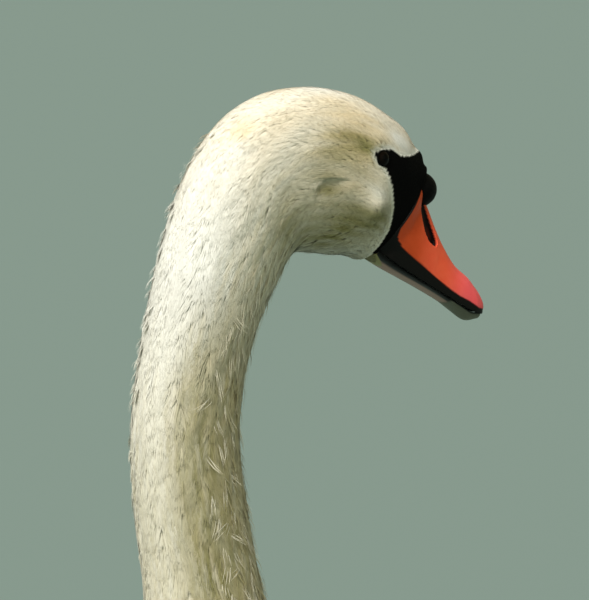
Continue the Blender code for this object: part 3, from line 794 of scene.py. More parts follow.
def knobDistance(points):
    # About how far a point lies outside the knob: its length in knob radii, less one, times the
    # smallest radius.
    lean = math.radians(knob["lean"])
    away = points - knobMiddle
    forward = away[..., 0] * math.cos(lean) - away[..., 2] * math.sin(lean)
    up = away[..., 0] * math.sin(lean) + away[..., 2] * math.cos(lean)
    local = np.stack([forward, away[..., 1], up], axis=-1) / np.array(knob["radii"])
    return (np.linalg.norm(local, axis=-1) - 1) * min(knob["radii"])


def skinDepth(along, angle):
    # As deep as the coat, nothing on the bare face, and raised by a square towards the knob.
    points = bodySurface(along, angle)
    bare = smoothStep(-0.0035, 0.0004, blackness(points))
    over = smoothStep(0.0, 0.0090, points[..., 2] - knobMiddle[2])
    reach = skinShape["fillet"][0] + skinShape["bridge"][0] * over
    rise = skinShape["fillet"][1] + skinShape["bridge"][1] * over
    near = np.clip(1 - np.maximum(knobDistance(points), 0) / reach, 0, 1)
    return coatAt(along, 0) * (1 - bare) - rise * near ** 2


def buildSkin():
    # Rings along the body at the skin's depth, closed to a point at the tail and at the bill.
    rows, around = skinShape["rows"], skinShape["around"]
    headRows = int(rows * skinShape["headShare"])
    neckRows = int(rows * skinShape["neckShare"])
    ringAlong = np.concatenate([
        np.linspace(bodyKnots[0], stationAt("neckBase"), rows - headRows - neckRows, endpoint=False),
        np.linspace(stationAt("neckBase"), stationAt("throat"), neckRows, endpoint=False),
        np.linspace(stationAt("throat"), bodyKnots[-1], headRows),
    ])
    along, angle = pairs(ringAlong, fullTurn(around))
    points = bodySurface(along, angle, skinDepth(along, angle))
    cloud = np.concatenate([points, [points[:around].mean(axis=0), points[-around:].mean(axis=0)]])
    marks = plumageMarks(along, angle)
    edge = blackness(bodySurface(along, angle)) + skinShape["ragged"] * margin(along, angle)
    marks["black"] = smoothStep(-skinShape["edge"], skinShape["edge"], edge)
    facts = {key: np.append(value, [value[0], value[-1]]) for key, value in marks.items()}
    faces = facingOut(cloud, closedFaces(rows, around))
    skin = makePiece("skin", cloud, faces, skinLook, facts)
    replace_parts(skin, "head", "neck_upper", "neck_middle", "neck_lower", "trunk", "tail")


buildSkin()


# The tufts of each part. Turn and sway are how far they lie askew, each by itself and as
# neighbours; gather is how far the barbs draw together; perBarb is the width that each barb takes;
# raised is the share of the tufts along the back of the neck that stand proud.
headTufts = {
    "look": headFeatherLook, "turn": 0.06, "sway": 0.10, "lengthSpread": 0.22, "rough": 0.025,
    "proud": 0.0005, "barbLift": 0.008, "raised": 0.10, "gather": 0.80, "barbShare": 0.16,
    "barbLeast": 0.00022, "perBarb": 0.00037, "round": 0.10, "pitch": 0.024, "stray": 0.003, "rise": 1.5,
}
neckTufts = {
    "look": neckFeatherLook, "turn": 0.07, "sway": 0.13, "lengthSpread": 0.28, "rough": 0.012,
    "proud": 0.0044, "barbLift": 0.007, "raised": 0.17, "gather": 0.72, "barbShare": 0.135,
    "barbLeast": 0.00024, "perBarb": 0.00044, "round": 0.05, "pitch": 0.013, "stray": 0.008, "rise": 2.0,
}
rearTufts = dict(headTufts, proud=0.0044, raised=0.18, stray=0.006, rise=1.8)
breastTufts = dict(neckTufts, proud=0.0, perBarb=0.00062, barbShare=0.12, round=0.07, pitch=0.022)
# What all the tufts share: where the raised ones stand round the neck (in radians from its back)
# and how high, how much shorter they are, and how much shorter tufts are beside the bare face.
allTufts = {
    "napeAt": 0.38, "napeWide": 0.21, "height": (0.45, 1.0), "raisedShort": 0.40, "edgeShort": 0.40,
    "edge": (0.0060, 0.0005), "barbRoots": 1.2, "sideShort": 0.20, "barbLength": (0.80, 1.10),
    "rootDepth": 0.75, "edgeDepth": 0.30, "markShare": 0.5,
}
unevenness = {"share": 0.065, "field": waves(16, 0.030, 0.015)}


def ruffled(along, angle, depth=0.0):
    # The outer surface, with the soft unevenness of lying feathers.
    lift = coatAt(along, 0) * unevenness["share"] * unevenness["field"](along, angle)
    lift = lift * smoothStep(0.0, 0.006, -blackness(bodySurface(along, angle)))
    return bodySurface(along, angle, depth - lift)


def featheredOnly(along, angle):
    # Keeps roots off the black face, with a slightly ragged edge.
    points = bodySurface(along, angle)
    edge = blackness(points) + rng.uniform(-0.0006, 0.0006, len(along))
    return edge < 0.0001


def layTufts(name, start, end, coat, angles=(0, 2 * np.pi)):
    # Each feather is a tuft of fine barbs: their roots spread across it, their tips draw together,
    # and the middle ones run longest, so that it ends in a soft point. A tuft shades as one round
    # lock, because its barbs lean their normals by their place across it. Some tufts along the nape
    # are raised: their barbs' tips have all heights from the surface up, so that no gap shows.
    along, angle = scatterRoots(bodySurface, start, end, angles, lambda s: coatAt(s, 3), featheredOnly)
    tufts = len(along)
    sway = tuftSway(along, angle)
    atEdge = smoothStep(*allTufts["edge"], -blackness(bodySurface(along, angle)))
    heading = coat["sway"] * sway * (1 - atEdge) + rng.normal(0, coat["turn"], tufts)
    length = coatAt(along, 1) * (1 + coat["lengthSpread"] * rng.uniform(-1, 1, tufts))
    length = length * (1 - allTufts["edgeShort"] * atEdge)
    width = coatAt(along, 2) * rng.uniform(0.85, 1.15, tufts)
    turned = (angle + np.pi) % (2 * np.pi) - np.pi
    nape = np.exp(-((turned - allTufts["napeAt"]) / allTufts["napeWide"]) ** 2)
    raised = rng.random(tufts) < coat["raised"] * nape
    height = rng.uniform(*allTufts["height"], tufts)
    height = height * smoothStep(stationAt("neckLow"), stationAt("throat"), along)
    front = smoothStep(0.1, -0.5, np.cos(angle))
    tuftTip = coatAt(along, 0) * rng.uniform(0, coat["rough"], tufts)
    lift = coat["proud"] * raised * height
    length = length * (1 - allTufts["raisedShort"] * raised)
    pitch = rng.normal(0, coat["pitch"], tufts)
    chance = rng.random(tufts)
    bend = rng.normal(0, 0.05, tufts)

    # the barbs: place is -1 to 1 across the tuft, back is how far a root lies behind the tuft's own
    barbs = np.maximum((coatAt(along, 2) / coat["perBarb"]).astype(int), 3)
    tuft = np.repeat(np.arange(tufts), barbs)
    count = len(tuft)
    within = np.arange(count) - np.repeat(np.cumsum(barbs) - barbs, barbs)
    place = (within + rng.uniform(0.1, 0.9, count)) / barbs[tuft] * 2 - 1
    back = rng.uniform(-0.5, 0.5, count) * coatAt(along, 3)[tuft] * allTufts["barbRoots"]
    stray = rng.random(count) < coat["stray"] * (0.02 + 4 * front[tuft])  # most in front
    stretch, skew, girth, _, _ = ringMetric(bodySurface, along, angle)
    cosine, sine = np.cos(heading[tuft]), np.sin(heading[tuft])
    sideways = place * width[tuft] / 2
    tail, side = back * cosine - sideways * sine, back * sine + sideways * cosine
    rootAngle = side / girth[tuft]
    barbAlong = np.clip(along[tuft] + (rootAngle * skew[tuft] - tail) / stretch[tuft], start, end)
    barbAngle = angle[tuft] + rootAngle
    barbLength = length[tuft] * (1 - allTufts["sideShort"] * place ** 2)
    barbLength = barbLength * rng.uniform(*allTufts["barbLength"], count) - back * 0.6
    inward = -place * (width[tuft] / 2) * (1 - coat["gather"]) / barbLength
    barbHeading = heading[tuft] + 0.6 * inward + rng.normal(0, 0.03, count)
    barbBend = bend[tuft] + 0.4 * inward + rng.normal(0, 0.02, count) + stray * rng.normal(0, 0.20, count)
    depth = coatAt(barbAlong, 0)
    tip = tuftTip[tuft] + depth * (0.01 * place ** 2 + coat["barbLift"] * rng.uniform(-1, 1, count))
    tip = tip - stray * depth * rng.uniform(0.1, 0.5, count) * (1 + front[tuft])
    tip = tip - lift[tuft] * rng.uniform(0.0, 1.0, count)
    barbWidth = coat["barbLeast"] + coat["barbShare"] * width[tuft] * rng.uniform(0.75, 1.25, count)
    shading = {
        "lean": coat["round"] * place + rng.normal(0, 0.04, count), "round": 0.12,
        "tipLean": 0.12, "pitch": pitch[tuft],
    }
    rootDepth = depth * (allTufts["rootDepth"] - allTufts["edgeDepth"] * atEdge[tuft])
    layBlades(name, "strand", ruffled, (barbAlong, barbAngle), barbHeading, barbLength, barbWidth,
              (rootDepth, tip), barbBend,
              {"material": coat["look"], "marks": plumageMarks, "markShare": allTufts["markShare"]},
              (start, end), coat["rise"], shading=shading,
              chance=0.55 * chance[tuft] + 0.45 * rng.random(count))


tuftSway = waves(10, 0.060, 0.026)
rearCrown, headEnd = stationAt("rearCrown"), bodyKnots[-1]
quarter = 0.5 * np.pi
layTufts("headFeathersCrown", rearCrown, headEnd, headTufts, (-quarter, quarter))
layTufts("headFeathersJaw", rearCrown, headEnd, headTufts, (quarter, 3 * quarter))
layTufts("headFeathersRear", stationAt("throat"), rearCrown, rearTufts)
neckCuts = [stationAt(name) for name in ("neckRoot", "neckBase", "neckThird", "neckSlim", "throat")]
for number, (low, high) in enumerate(zip(neckCuts[:-1], neckCuts[1:])):
    layTufts(f"neckFeathers{number}", low, high, neckTufts)
layTufts("breastFeathers", stationAt("breast"), stationAt("neckRoot"), breastTufts)
print("head and neck feathered")


def evenMarks(marks):
    # The same marks all over a piece.
    return lambda along, angle: {key: np.full(len(along), value) for key, value in marks.items()}


# Loose white wisps that stand out of the neck's front and sides, a few fine strands in each.
wisps = {
    "start": "neckThird", "end": "throat", "angles": (1.50, 2 * np.pi - 1.50), "spacing": 0.0100,
    "share": 0.70, "strands": 5, "scatter": 0.0010, "length": 0.0140, "width": 0.00042, "root": 0.30,
    "out": (0.0015, 0.0048), "turn": 0.34, "bend": 0.22, "rise": 0.70, "tipLean": -0.60, "pitch": -0.26,
    "marks": {"tan": 0.15, "olive": 0.12, "cream": 0.50},
}


def buildWisps():
    # Each strand curls from its root in the coat outwards to its tip. Its normals lean back to the
    # head, more so towards the tip, so that it catches the light.
    start, end = stationAt(wisps["start"]), stationAt(wisps["end"])
    along, angle = scatterRoots(bodySurface, start, end, wisps["angles"], lambda s: wisps["spacing"],
                                lambda s, a: rng.random(len(s)) < wisps["share"])
    wisp = np.repeat(np.arange(len(along)), wisps["strands"])
    count = len(wisp)
    stretch, _, girth, _, _ = ringMetric(bodySurface, along, angle)
    strandAlong = along[wisp] + rng.normal(0, wisps["scatter"], count) / stretch[wisp]
    strandAngle = angle[wisp] + rng.normal(0, wisps["scatter"], count) / girth[wisp]
    heading = rng.normal(0, wisps["turn"], len(along))[wisp] + rng.normal(0, 0.07, count)
    bend = rng.normal(0, wisps["bend"], len(along))[wisp] + rng.normal(0, 0.04, count)
    out = rng.uniform(*wisps["out"], len(along))[wisp] * rng.uniform(0.5, 1.0, count)
    length = wisps["length"] * rng.uniform(0.7, 1.25, count)
    shading = {
        "lean": rng.normal(0, 0.1, count), "round": 0.10,
        "tipLean": wisps["tipLean"], "pitch": np.full(count, wisps["pitch"]),
    }
    layBlades("neckWisps", "strand", bodySurface, (strandAlong, strandAngle), heading, length,
              wisps["width"], (coatAt(strandAlong, 0) * wisps["root"], -out), bend,
              {"material": headFeatherLook, "marks": evenMarks(wisps["marks"])}, (start, end),
              wisps["rise"], shading=shading)


buildWisps()


# Rings of the two halves of the bill: x, z, lean in degrees, height over the mouth line (or depth
# under it) and half width.
upperBill = {
    "stations": (
        (0.3265, 0.6700, -42.2, 0.0570, 0.0180), (0.3420, 0.6600, -41.5, 0.0466, 0.0172),
        (0.3565, 0.6516, -36.0, 0.0373, 0.0163), (0.3680, 0.6450, -32.5, 0.0301, 0.0151),
        (0.3815, 0.6378, -31.0, 0.0225, 0.0143), (0.3950, 0.6302, -28.0, 0.0196, 0.0140),
        (0.4040, 0.6260, -25.0, 0.0148, 0.0130), (0.4104, 0.6246, -24.0, 0.0086, 0.0092),
        (0.4128, 0.6247, -20.0, 0.0042, 0.0048),
    ),
    "rows": 250, "arc": 141, "under": 14, "side": 1, "hollow": 0.0012,
    "bandStep": 0.00035, "skinStep": 0.00030, "rimRise": 0.00022, "nailRise": 0.00045, "ridge": 0.0005,
    "blend": 0.011,
}
lowerBill = {
    "stations": (
        (0.3263, 0.6696, -42.2, 0.0042, 0.0168), (0.3418, 0.6596, -35.0, 0.0034, 0.0152),
        (0.3563, 0.6512, -31.0, 0.0024, 0.0140), (0.3740, 0.6413, -28.0, 0.0018, 0.0126),
        (0.3865, 0.6344, -26.0, 0.0024, 0.0114), (0.3950, 0.6300, -20.0, 0.0046, 0.0102),
        (0.4030, 0.6262, -12.0, 0.0062, 0.0078), (0.4112, 0.6247, -4.0, 0.0040, 0.0052),
    ),
    "rows": 200, "arc": 81, "under": 14, "side": -1, "hollow": 0.0004,
}
# Both halves: the power that rounds their rings, how far they start in front of the head, how far
# the round tip runs past the last ring and in how many rings.
billShape = {"roundness": 1.85, "gap": 0.0003, "tip": 0.0017, "tipRows": 16}

# Edges of the orange: x of its rear edge at each height, z of its lower edge at each x, and how
# softly the two meet.
orangeEdge = {
    "rearZ": (0.6700, 0.6790, 0.6843, 0.6908, 0.6979, 0.7043, 0.7080, 0.7121, 0.7180),
    "rearX": (0.3396, 0.3396, 0.3416, 0.3474, 0.3538, 0.3590, 0.3605, 0.3620, 0.3660),
    "lowX": (0.3380, 0.3407, 0.3446, 0.3523, 0.3600, 0.3678,
             0.3755, 0.3833, 0.3911, 0.3989, 0.4067, 0.4170),
    "lowZ": (0.6800, 0.6766, 0.6718, 0.6656, 0.6600, 0.6537,
             0.6480, 0.6424, 0.6374, 0.6337, 0.6288, 0.6268),
    "soft": 0.0012,
}
# The nostril: its middle, half width and depth at each height.
nostril = {
    "z": (0.6705, 0.6722, 0.6750, 0.6810, 0.6900, 0.6985, 0.7045, 0.7080),
    "x": (0.3738, 0.3732, 0.3718, 0.3696, 0.3672, 0.3654, 0.3646, 0.3642),
    "half": (0.0000, 0.0026, 0.0042, 0.0047, 0.0038, 0.0027, 0.0018, 0.0010),
    "deep": (0.0034, 0.0036, 0.0036, 0.0032, 0.0024, 0.0018, 0.0012, 0.0008),
}
# The feathered wedge under the chin: how far it runs along the lower bill, its half width, the
# bill's own half width there, and its short feathers, olive with painted shade under the bill.
chin = {
    "long": 0.0150, "half": 0.0150, "billHalf": 0.0165, "spacing": 0.00075, "length": 0.0048,
    "width": 0.00060, "depths": (0.0004, -0.0007), "marks": {"tan": 0.15, "olive": 0.95, "cream": 0.40},
}


def billRings(bill):
    # Station values along the bill, with a last stretch that rounds off to the tip:
    # size * cos(quarter turn), centre + tip * sin(quarter turn).
    rows = np.array(bill["stations"], float)
    knots = knotsOf(rows)
    tipRows = billShape["tipRows"]
    values = smoothThrough(knots, rows, np.linspace(0, knots[-1], bill["rows"] - tipRows))
    turn = np.linspace(0, 0.495 * np.pi, tipRows + 1)[1:]
    last = np.repeat(values[-1:], tipRows, axis=0)
    lean = np.radians(last[:, 2])
    last[:, 0] += billShape["tip"] * np.sin(turn) * np.cos(lean)
    last[:, 1] += billShape["tip"] * np.sin(turn) * np.sin(lean)
    last[:, 3:] *= np.cos(turn)[:, None]
    return np.concatenate([values, last])


def billPoints(bill):
    # Half rounds over (or under) the mouth line from left edge to right, then back along it, a
    # little hollowed. Also the way each point moves when the surface rises or sinks, and how far
    # up its ring it lies, from 0 to 1.
    rings = billRings(bill)
    power = 2 / billShape["roundness"]
    angle = np.linspace(0.5 * np.pi, -0.5 * np.pi, bill["arc"])
    up = np.cos(angle) ** power
    out = rounded(np.sin(angle), power)
    back = np.linspace(-1, 1, bill["under"] + 2)[1:-1]
    up = np.concatenate([up, np.zeros_like(back)])
    out = np.concatenate([out, back])
    hollow = np.concatenate([np.zeros(bill["arc"]), 1 - back ** 2])
    x, z, lean, height, half = (column[:, None] for column in rings.T)
    lean = np.radians(lean)
    reach = bill["side"] * (height * up + bill["hollow"] * hollow * np.minimum(half / 0.014, 1))
    baseLean = math.radians(bodyStations["billBase"][2])
    shiftX = billShape["gap"] * math.cos(baseLean)
    shiftZ = billShape["gap"] * math.sin(baseLean)
    points = np.stack([x - np.sin(lean) * reach + shiftX, half * out + 0 * x,
                       z + np.cos(lean) * reach + shiftZ], axis=-1)
    across = out / np.maximum(half, 1e-4) * height * np.sign(half)
    spoke = np.stack([-np.sin(lean) * bill["side"] * up, across, np.cos(lean) * bill["side"] * up], axis=-1)
    return points, unit(spoke + 1e-9), up + 0 * x


def gapToHead(points, spoke):
    # How far each point of the bill's first ring lies from the head's last ring, along its spoke,
    # by halving: the ring is |up / reach| ^ n + |side / half| ^ n = 1.
    x, z, lean, up, down, half, egg = bodyRows[-1]
    lean = math.radians(lean)
    power = bodyShape["roundness"]
    low, high = np.full(len(points), -0.008), np.full(len(points), 0.012)
    for _ in range(30):
        middle = (low + high) / 2
        at = points + spoke * middle[:, None]
        rise = -math.sin(lean) * (at[:, 0] - x) + math.cos(lean) * (at[:, 2] - z)
        share = rise / np.where(rise > 0, up, down)
        side = half * (1 - egg * share)
        outside = np.abs(share) ** power + np.abs(at[:, 1] / side) ** power > 1
        low, high = np.where(outside, low, middle), np.where(outside, middle, high)
    return (low + high) / 2


def insideOrange(points):
    # Distance inside both edges: -soft * log(exp(-rear / soft) + exp(-low / soft)).
    rear = points[..., 0] - np.interp(points[..., 2], orangeEdge["rearZ"], orangeEdge["rearX"])
    low = points[..., 2] - np.interp(points[..., 0], orangeEdge["lowX"], orangeEdge["lowZ"])
    soft = orangeEdge["soft"]
    rear, low = (np.exp(-np.clip(inside, -0.02, 0.02) / soft) for inside in (rear, low))
    return -soft * np.log(rear + low)


def insideNostril(points):
    # Distance inside the nostril, seen from the side.
    middle = np.interp(points[..., 2], nostril["z"], nostril["x"])
    half = np.interp(points[..., 2], nostril["z"], nostril["half"], left=-0.002)
    return half - np.abs(points[..., 0] - middle)


# Colours laid one over the other by the marks of the same names: the darker and the lighter of
# each mottled one, or a plain one.
billColours = {
    # the orange, darker at the bill's rear, is painted shade there; bright is the lit front
    "orange": ((0.600, 0.066, 0.014), (0.740, 0.098, 0.024)),
    "bright": ((1.000, 0.098, 0.042), (1.000, 0.165, 0.076)),
    "pink": ((0.900, 0.085, 0.095), (0.960, 0.150, 0.165)),
    # painted highlight along the culmen near the tip
    "culmenHighlight": ((0.900, 0.420, 0.400),),
    "black": ((0.0012, 0.0011, 0.0010), (0.0045, 0.0040, 0.0035)),
    "flesh": ((0.300, 0.165, 0.125), (0.520, 0.340, 0.280)),
    "horn": ((0.110, 0.114, 0.082), (0.190, 0.192, 0.142)),
    # painted shade on the chin's wedge under the bill
    "chin": (plumageColours["olive"],),
    # painted shade inside the nostril's hollow
    "pit": ((0.004, 0.002, 0.002),),
    "rust": ((0.060, 0.006, 0.003),),
}


def billMaterial(name):
    # Orange horn, darker at the rear as painted shade, brighter in front and running to pink at the tip, with
    # a painted highlight along the culmen, the black edge, the fleshy underside, nail and nostril, whose
    # hollow is in painted shade, over it.
    material, tree, shader = newMaterial(name)
    mottled = noiseOut(tree, 170.0, 5.0)
    fine = noiseOut(tree, 1300.0, 4.0)
    colour = None
    for key, colours in billColours.items():
        noise = fine if key == "black" else mottled
        own = mixColour(tree, noise, *colours) if len(colours) == 2 else colours[0]
        colour = own if colour is None else mixColour(tree, attributeOut(tree, key), colour, own)
    tree.links.new(colour, shader.inputs["Base Color"])
    tree.links.new(spread(tree, mottled, 0.36, 0.50), shader.inputs["Roughness"])
    shader.inputs["Specular IOR Level"].default_value = 0.15
    height = maths(tree, "ADD", mottled, maths(tree, "MULTIPLY", fine, 0.25))
    bumpOn(tree, shader, height, 0.00035)
    return material


def distanceAhead(points):
    # How far the middle of each ring lies from the first one's.
    return np.linalg.norm(points.mean(axis=1) - points[0].mean(axis=0), axis=-1)[:, None]


def carveUpper(points, spoke, onArc):
    # Sinks the black edge and the nostril, raises the nostril's rim, the nail and the ridge, and
    # blends the rear into the head's last ring. Returns the points and their marks.
    x, y, z = points[..., 0], points[..., 1], points[..., 2]
    zero = np.zeros(x.shape)
    inside = insideOrange(points)
    hole = insideNostril(points) * onArc - 0.01 * (1 - onArc)
    pit = smoothStep(-0.0004, 0.0016, hole)
    rim = np.exp(-((hole + 0.0007) / 0.0006) ** 2) * upperBill["rimRise"]
    band = smoothStep(0.0004, -0.0004, inside)
    rearSkin = smoothStep(0.3600, 0.3480, x) * smoothStep(0.668, 0.676, z)
    nail = smoothStep(0.4075, 0.4105, x) * smoothStep(0.0078, 0.0066, np.abs(y))
    sunk = upperBill["bandStep"] * (1 - rearSkin) - upperBill["skinStep"] * rearSkin
    ridge = upperBill["ridge"] * np.exp(-(y / 0.0035) ** 2)
    deep = np.interp(z, nostril["z"], nostril["deep"])
    shift = (-deep * pit + rim - band * sunk + nail * upperBill["nailRise"] + ridge * (1 - pit)) * onArc
    gap = gapToHead(points[0], spoke[0]) - 0.0002
    shift = shift + gap * smoothStep(upperBill["blend"], 0, distanceAhead(points)) * onArc
    sideways = pit[..., None] * np.stack([zero, np.sign(y), zero], axis=-1)
    spoke = unit(spoke * (1 - 0.7 * pit[..., None]) + 0.7 * sideways)
    rust = smoothStep(0.0018, 0.0030, hole) * smoothStep(0.674, 0.678, z) * smoothStep(0.686, 0.681, z)
    return points + spoke * shift[..., None], {
        "black": np.maximum(band, 1 - onArc),
        # lighter towards the front: the rear stays darker as painted shade
        "bright": smoothStep(0.349, 0.372, x - 0.30 * (z - 0.66)),
        "pink": smoothStep(0.372, 0.402, x - 0.35 * (z - 0.64)),
        # painted highlight along the culmen's ridge near the tip
        "culmenHighlight": smoothStep(0.385, 0.41, x) * np.exp(-(np.abs(y) / 0.004) ** 2) * 0.35,
        # painted shade inside the nostril's hollow
        "pit": smoothStep(0.0001, 0.0005, hole),
        "rust": rust * 0.8,
    }


def markLower(points, up, onArc):
    # Black, with flesh along its underside, a horn nail and the feathered chin's wedge in olive, painted
    # shade.
    x, y = points[..., 0], points[..., 1]
    nail = smoothStep(0.3835, 0.3870, x)
    underChin = np.clip(np.abs(y) / chin["half"], 0, 1) ** 2 * chin["long"]
    wedge = smoothStep(0.0004, -0.0004, distanceAhead(points) + underChin - chin["long"])
    return {
        "black": np.ones(x.shape),
        "flesh": smoothStep(0.62, 0.86, up) * onArc * (1 - nail) * smoothStep(0.324, 0.336, x),
        "horn": nail * smoothStep(0.05, 0.25, up) * onArc,
        "chin": wedge * smoothStep(0.25, 0.40, up) * onArc,
    }


def buildBill():
    look = billMaterial("BillHorn")
    for name, bill, node in (("billUpper", upperBill, "bill_upper"), ("billLower", lowerBill, "bill_lower")):
        points, spoke, up = billPoints(bill)
        rows, columns = points.shape[:2]
        onArc = (np.arange(columns) < bill["arc"]) * 1.0
        if bill["side"] > 0:
            points, marks = carveUpper(points, spoke, onArc)
        else:
            marks = markLower(points, up, onArc)
        cloud = points.reshape(-1, 3)
        cloud = np.concatenate([cloud, [cloud[:columns].mean(axis=0), cloud[-columns:].mean(axis=0)]])
        zero = np.zeros((rows, columns))
        facts = {}
        for key in list(billColours)[1:]:
            value = marks.get(key, zero)
            facts[key] = np.append(value.ravel(), [value.flat[0], value.flat[-1]])
        faces = facingOut(cloud, closedFaces(rows, columns))
        piece = makePiece(name, cloud, faces, look, facts)
        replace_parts(piece, node)


buildBill()


def chinSurface(along, angle, depth=0.0):
    # The lower bill's outside: each ring's middle + height * cos + half width * sin of the angle.
    rows = np.array(lowerBill["stations"], float)
    x, z, lean, height, half = smoothThrough(knotsOf(rows), rows, along).T
    lean = np.radians(lean)
    power = 2 / billShape["roundness"]
    reach = (height - depth) * rounded(np.cos(angle), power)
    side = (half - depth) * rounded(np.sin(angle), power)
    return np.stack([x - np.sin(lean) * reach, side, z + np.cos(lean) * reach], axis=-1)


def onWedge(along, angle):
    # Keeps roots where the wedge, a parabola across the chin, has not yet ended.
    across = (np.sin(angle) * chin["billHalf"] / chin["half"]) ** 2 * chin["long"]
    return along + across < chin["long"] + rng.uniform(0, 0.0012, len(along))


def buildChin():
    # Short feathers on the wedge, lying back towards the throat.
    start, end = 0.0005, chin["long"] + 0.004
    angles = (np.pi - 1.2, np.pi + 1.2)
    along, angle = scatterRoots(chinSurface, start, end, angles, lambda s: chin["spacing"], onWedge)
    count = len(along)
    layBlades("chinFeathers", "strand", chinSurface, (along, angle), rng.normal(0, 0.12, count),
              chin["length"] * rng.uniform(0.7, 1.2, count), chin["width"] * rng.uniform(0.8, 1.2, count),
              chin["depths"], rng.normal(0, 0.06, count),
              {"material": headFeatherLook, "marks": evenMarks(chin["marks"])}, (start, end), 1.35,
              limits=(0.0, end))


buildChin()


def darkSkinMaterial(name, low, high, roughness, scale, bump):
    material, tree, shader = newMaterial(name)
    fine = noiseOut(tree, scale, 5.0)
    tree.links.new(mixColour(tree, fine, low, high), shader.inputs["Base Color"])
    rough = spread(tree, fine, roughness - 0.08, roughness + 0.1)
    tree.links.new(rough, shader.inputs["Roughness"])
    shader.inputs["Specular IOR Level"].default_value = 0.06
    bumpOn(tree, shader, fine, bump)
    return material


def buildKnob():
    # A ball of three radii, turned by its lean, a little fuller in front, wrinkled by waves and
    # creased along its top.
    rows, around = knob["rows"], knob["around"]
    down = np.linspace(0, np.pi, rows)[1:-1]
    down, turn = np.meshgrid(down, fullTurn(around), indexing="ij")
    direction = np.stack([np.sin(down) * np.cos(turn), np.sin(down) * np.sin(turn), np.cos(down)], axis=-1)
    flat = direction.reshape(-1, 3)
    broad, narrow = flat @ np.array([9.0, 4.0, 14.0]) + 1.3, flat @ np.array([21.0, -13.0, 9.0])
    ripple = np.sin(broad) * np.sin(flat @ np.array([-6.0, 11.0, 7.0]))
    ripple = ripple + 0.6 * np.sin(narrow) * np.sin(flat @ np.array([5.0, 19.0, -17.0]))
    furrow = np.exp(-(flat[:, 1] / 0.10) ** 2) * smoothStep(0.1, 0.7, flat[:, 2])
    size = np.array(knob["radii"]) * (1 + knob["fuller"] * flat[:, :1] * np.ones(3))
    local = flat * size + flat * (knob["wrinkle"] * ripple - knob["crease"] * furrow)[:, None]
    poles = np.array([[0, 0, 1.0], [0, 0, -1.0]]) * knob["radii"][2]
    local = np.concatenate([local, poles])
    lean = math.radians(knob["lean"])
    cosine, sine = math.cos(lean), math.sin(lean)
    cloud = local @ np.array([[cosine, 0, sine], [0, 1, 0], [-sine, 0, cosine]]).T + knobMiddle
    look = darkSkinMaterial("KnobSkin", *knob["colours"], 0.50, 1400.0, 0.00012)
    faces = facingOut(cloud, closedFaces(len(down), around))
    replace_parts(makePiece("knob", cloud, faces, look), "bill_knob")


buildKnob()


# The eyeball's radius, the way the left eye looks, edges of pupil and iris in degrees from there,
# and the lid's ring: its radius, its tube's radius and how far out of the ball's middle it lies.
eye = {
    "radius": 0.0068, "out": (0.22, 0.96, 0.16), "pupil": 20.0, "iris": 43.0,
    "rows": 70, "around": 72, "lidRadius": 0.0050, "lidTube": 0.00045, "lidHeight": 0.0045,
    "black": (0.0006, 0.0006, 0.0006), "brown": ((0.0020, 0.0012, 0.0007), (0.0050, 0.0028, 0.0016)),
    "lid": ((0.0008, 0.0008, 0.0008), (0.0030, 0.0028, 0.0026)), "lidRows": 96, "lidAround": 18,
}


def eyeMaterial():
    material, tree, shader = newMaterial("EyeGlass")
    iris = mixColour(tree, noiseOut(tree, 1500.0), *eye["brown"])
    colour = mixColour(tree, attributeOut(tree, "iris"), eye["black"], iris)
    tree.links.new(colour, shader.inputs["Base Color"])
    shader.inputs["Roughness"].default_value = 0.08
    shader.inputs["Specular IOR Level"].default_value = 0.08
    return material


def axesOf(direction):
    outward = unit(np.array(direction))
    forward = unit(np.array([1.0, 0.0, 0.0]) - outward * outward[0])
    return outward, forward, np.cross(outward, forward)


def buildEyeball(word, centre, axes, look):
    # Rings at even angles from the way the eye looks: centre + radius * (cos * outward + sin *
    # the way across).
    outward, forward, upward = axes
    down, turn = pairs(np.linspace(0, np.pi, eye["rows"])[1:-1], fullTurn(eye["around"]))
    across = np.cos(turn)[:, None] * forward + np.sin(turn)[:, None] * upward
    direction = np.cos(down)[:, None] * outward + np.sin(down)[:, None] * across
    cloud = centre + eye["radius"] * np.concatenate([direction, [outward, -outward]])
    angle = np.degrees(np.append(down, [0, np.pi]))
    iris = smoothStep(eye["pupil"] - 1, eye["pupil"] + 1, angle)
    iris = iris * smoothStep(eye["iris"] + 1, eye["iris"], angle)
    faces = facingOut(cloud, closedFaces(eye["rows"] - 2, eye["around"]))
    piece = makePiece("eyeball_" + word, cloud, faces, look, {"iris": iris})
    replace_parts(piece, "eye_" + word)


def buildLid(word, centre, axes, look):
    # A tube carried round the opening, drawn out a little at its two corners.
    outward, forward, upward = axes
    turn, tube = np.meshgrid(fullTurn(eye["lidRows"]), fullTurn(eye["lidAround"]), indexing="ij")
    radius = eye["lidRadius"] * (1 + 0.05 * np.cos(2 * turn) + 0.03 * np.abs(np.cos(turn)) ** 8)
    thick = eye["lidTube"] * (1 + 0.03 * np.sin(31 * turn))
    reach = (radius + thick * np.cos(tube) * 1.25)[..., None]
    across = np.cos(turn)[..., None] * forward + np.sin(turn)[..., None] * upward
    lift = (eye["lidHeight"] + thick * np.sin(tube) + 0.0003 * np.sin(turn))[..., None]
    cloud = (centre + across * reach + outward * lift).reshape(-1, 3)
    count, section = turn.shape
    row, column = pairs(np.arange(count), np.arange(section))
    after, beside = (row + 1) % count, (column + 1) % section
    faces = [np.stack([row * section + column, after * section + column,
                       after * section + beside, row * section + beside], axis=1)]
    makePiece("lid_" + word, cloud, facingOut(cloud, faces), look)


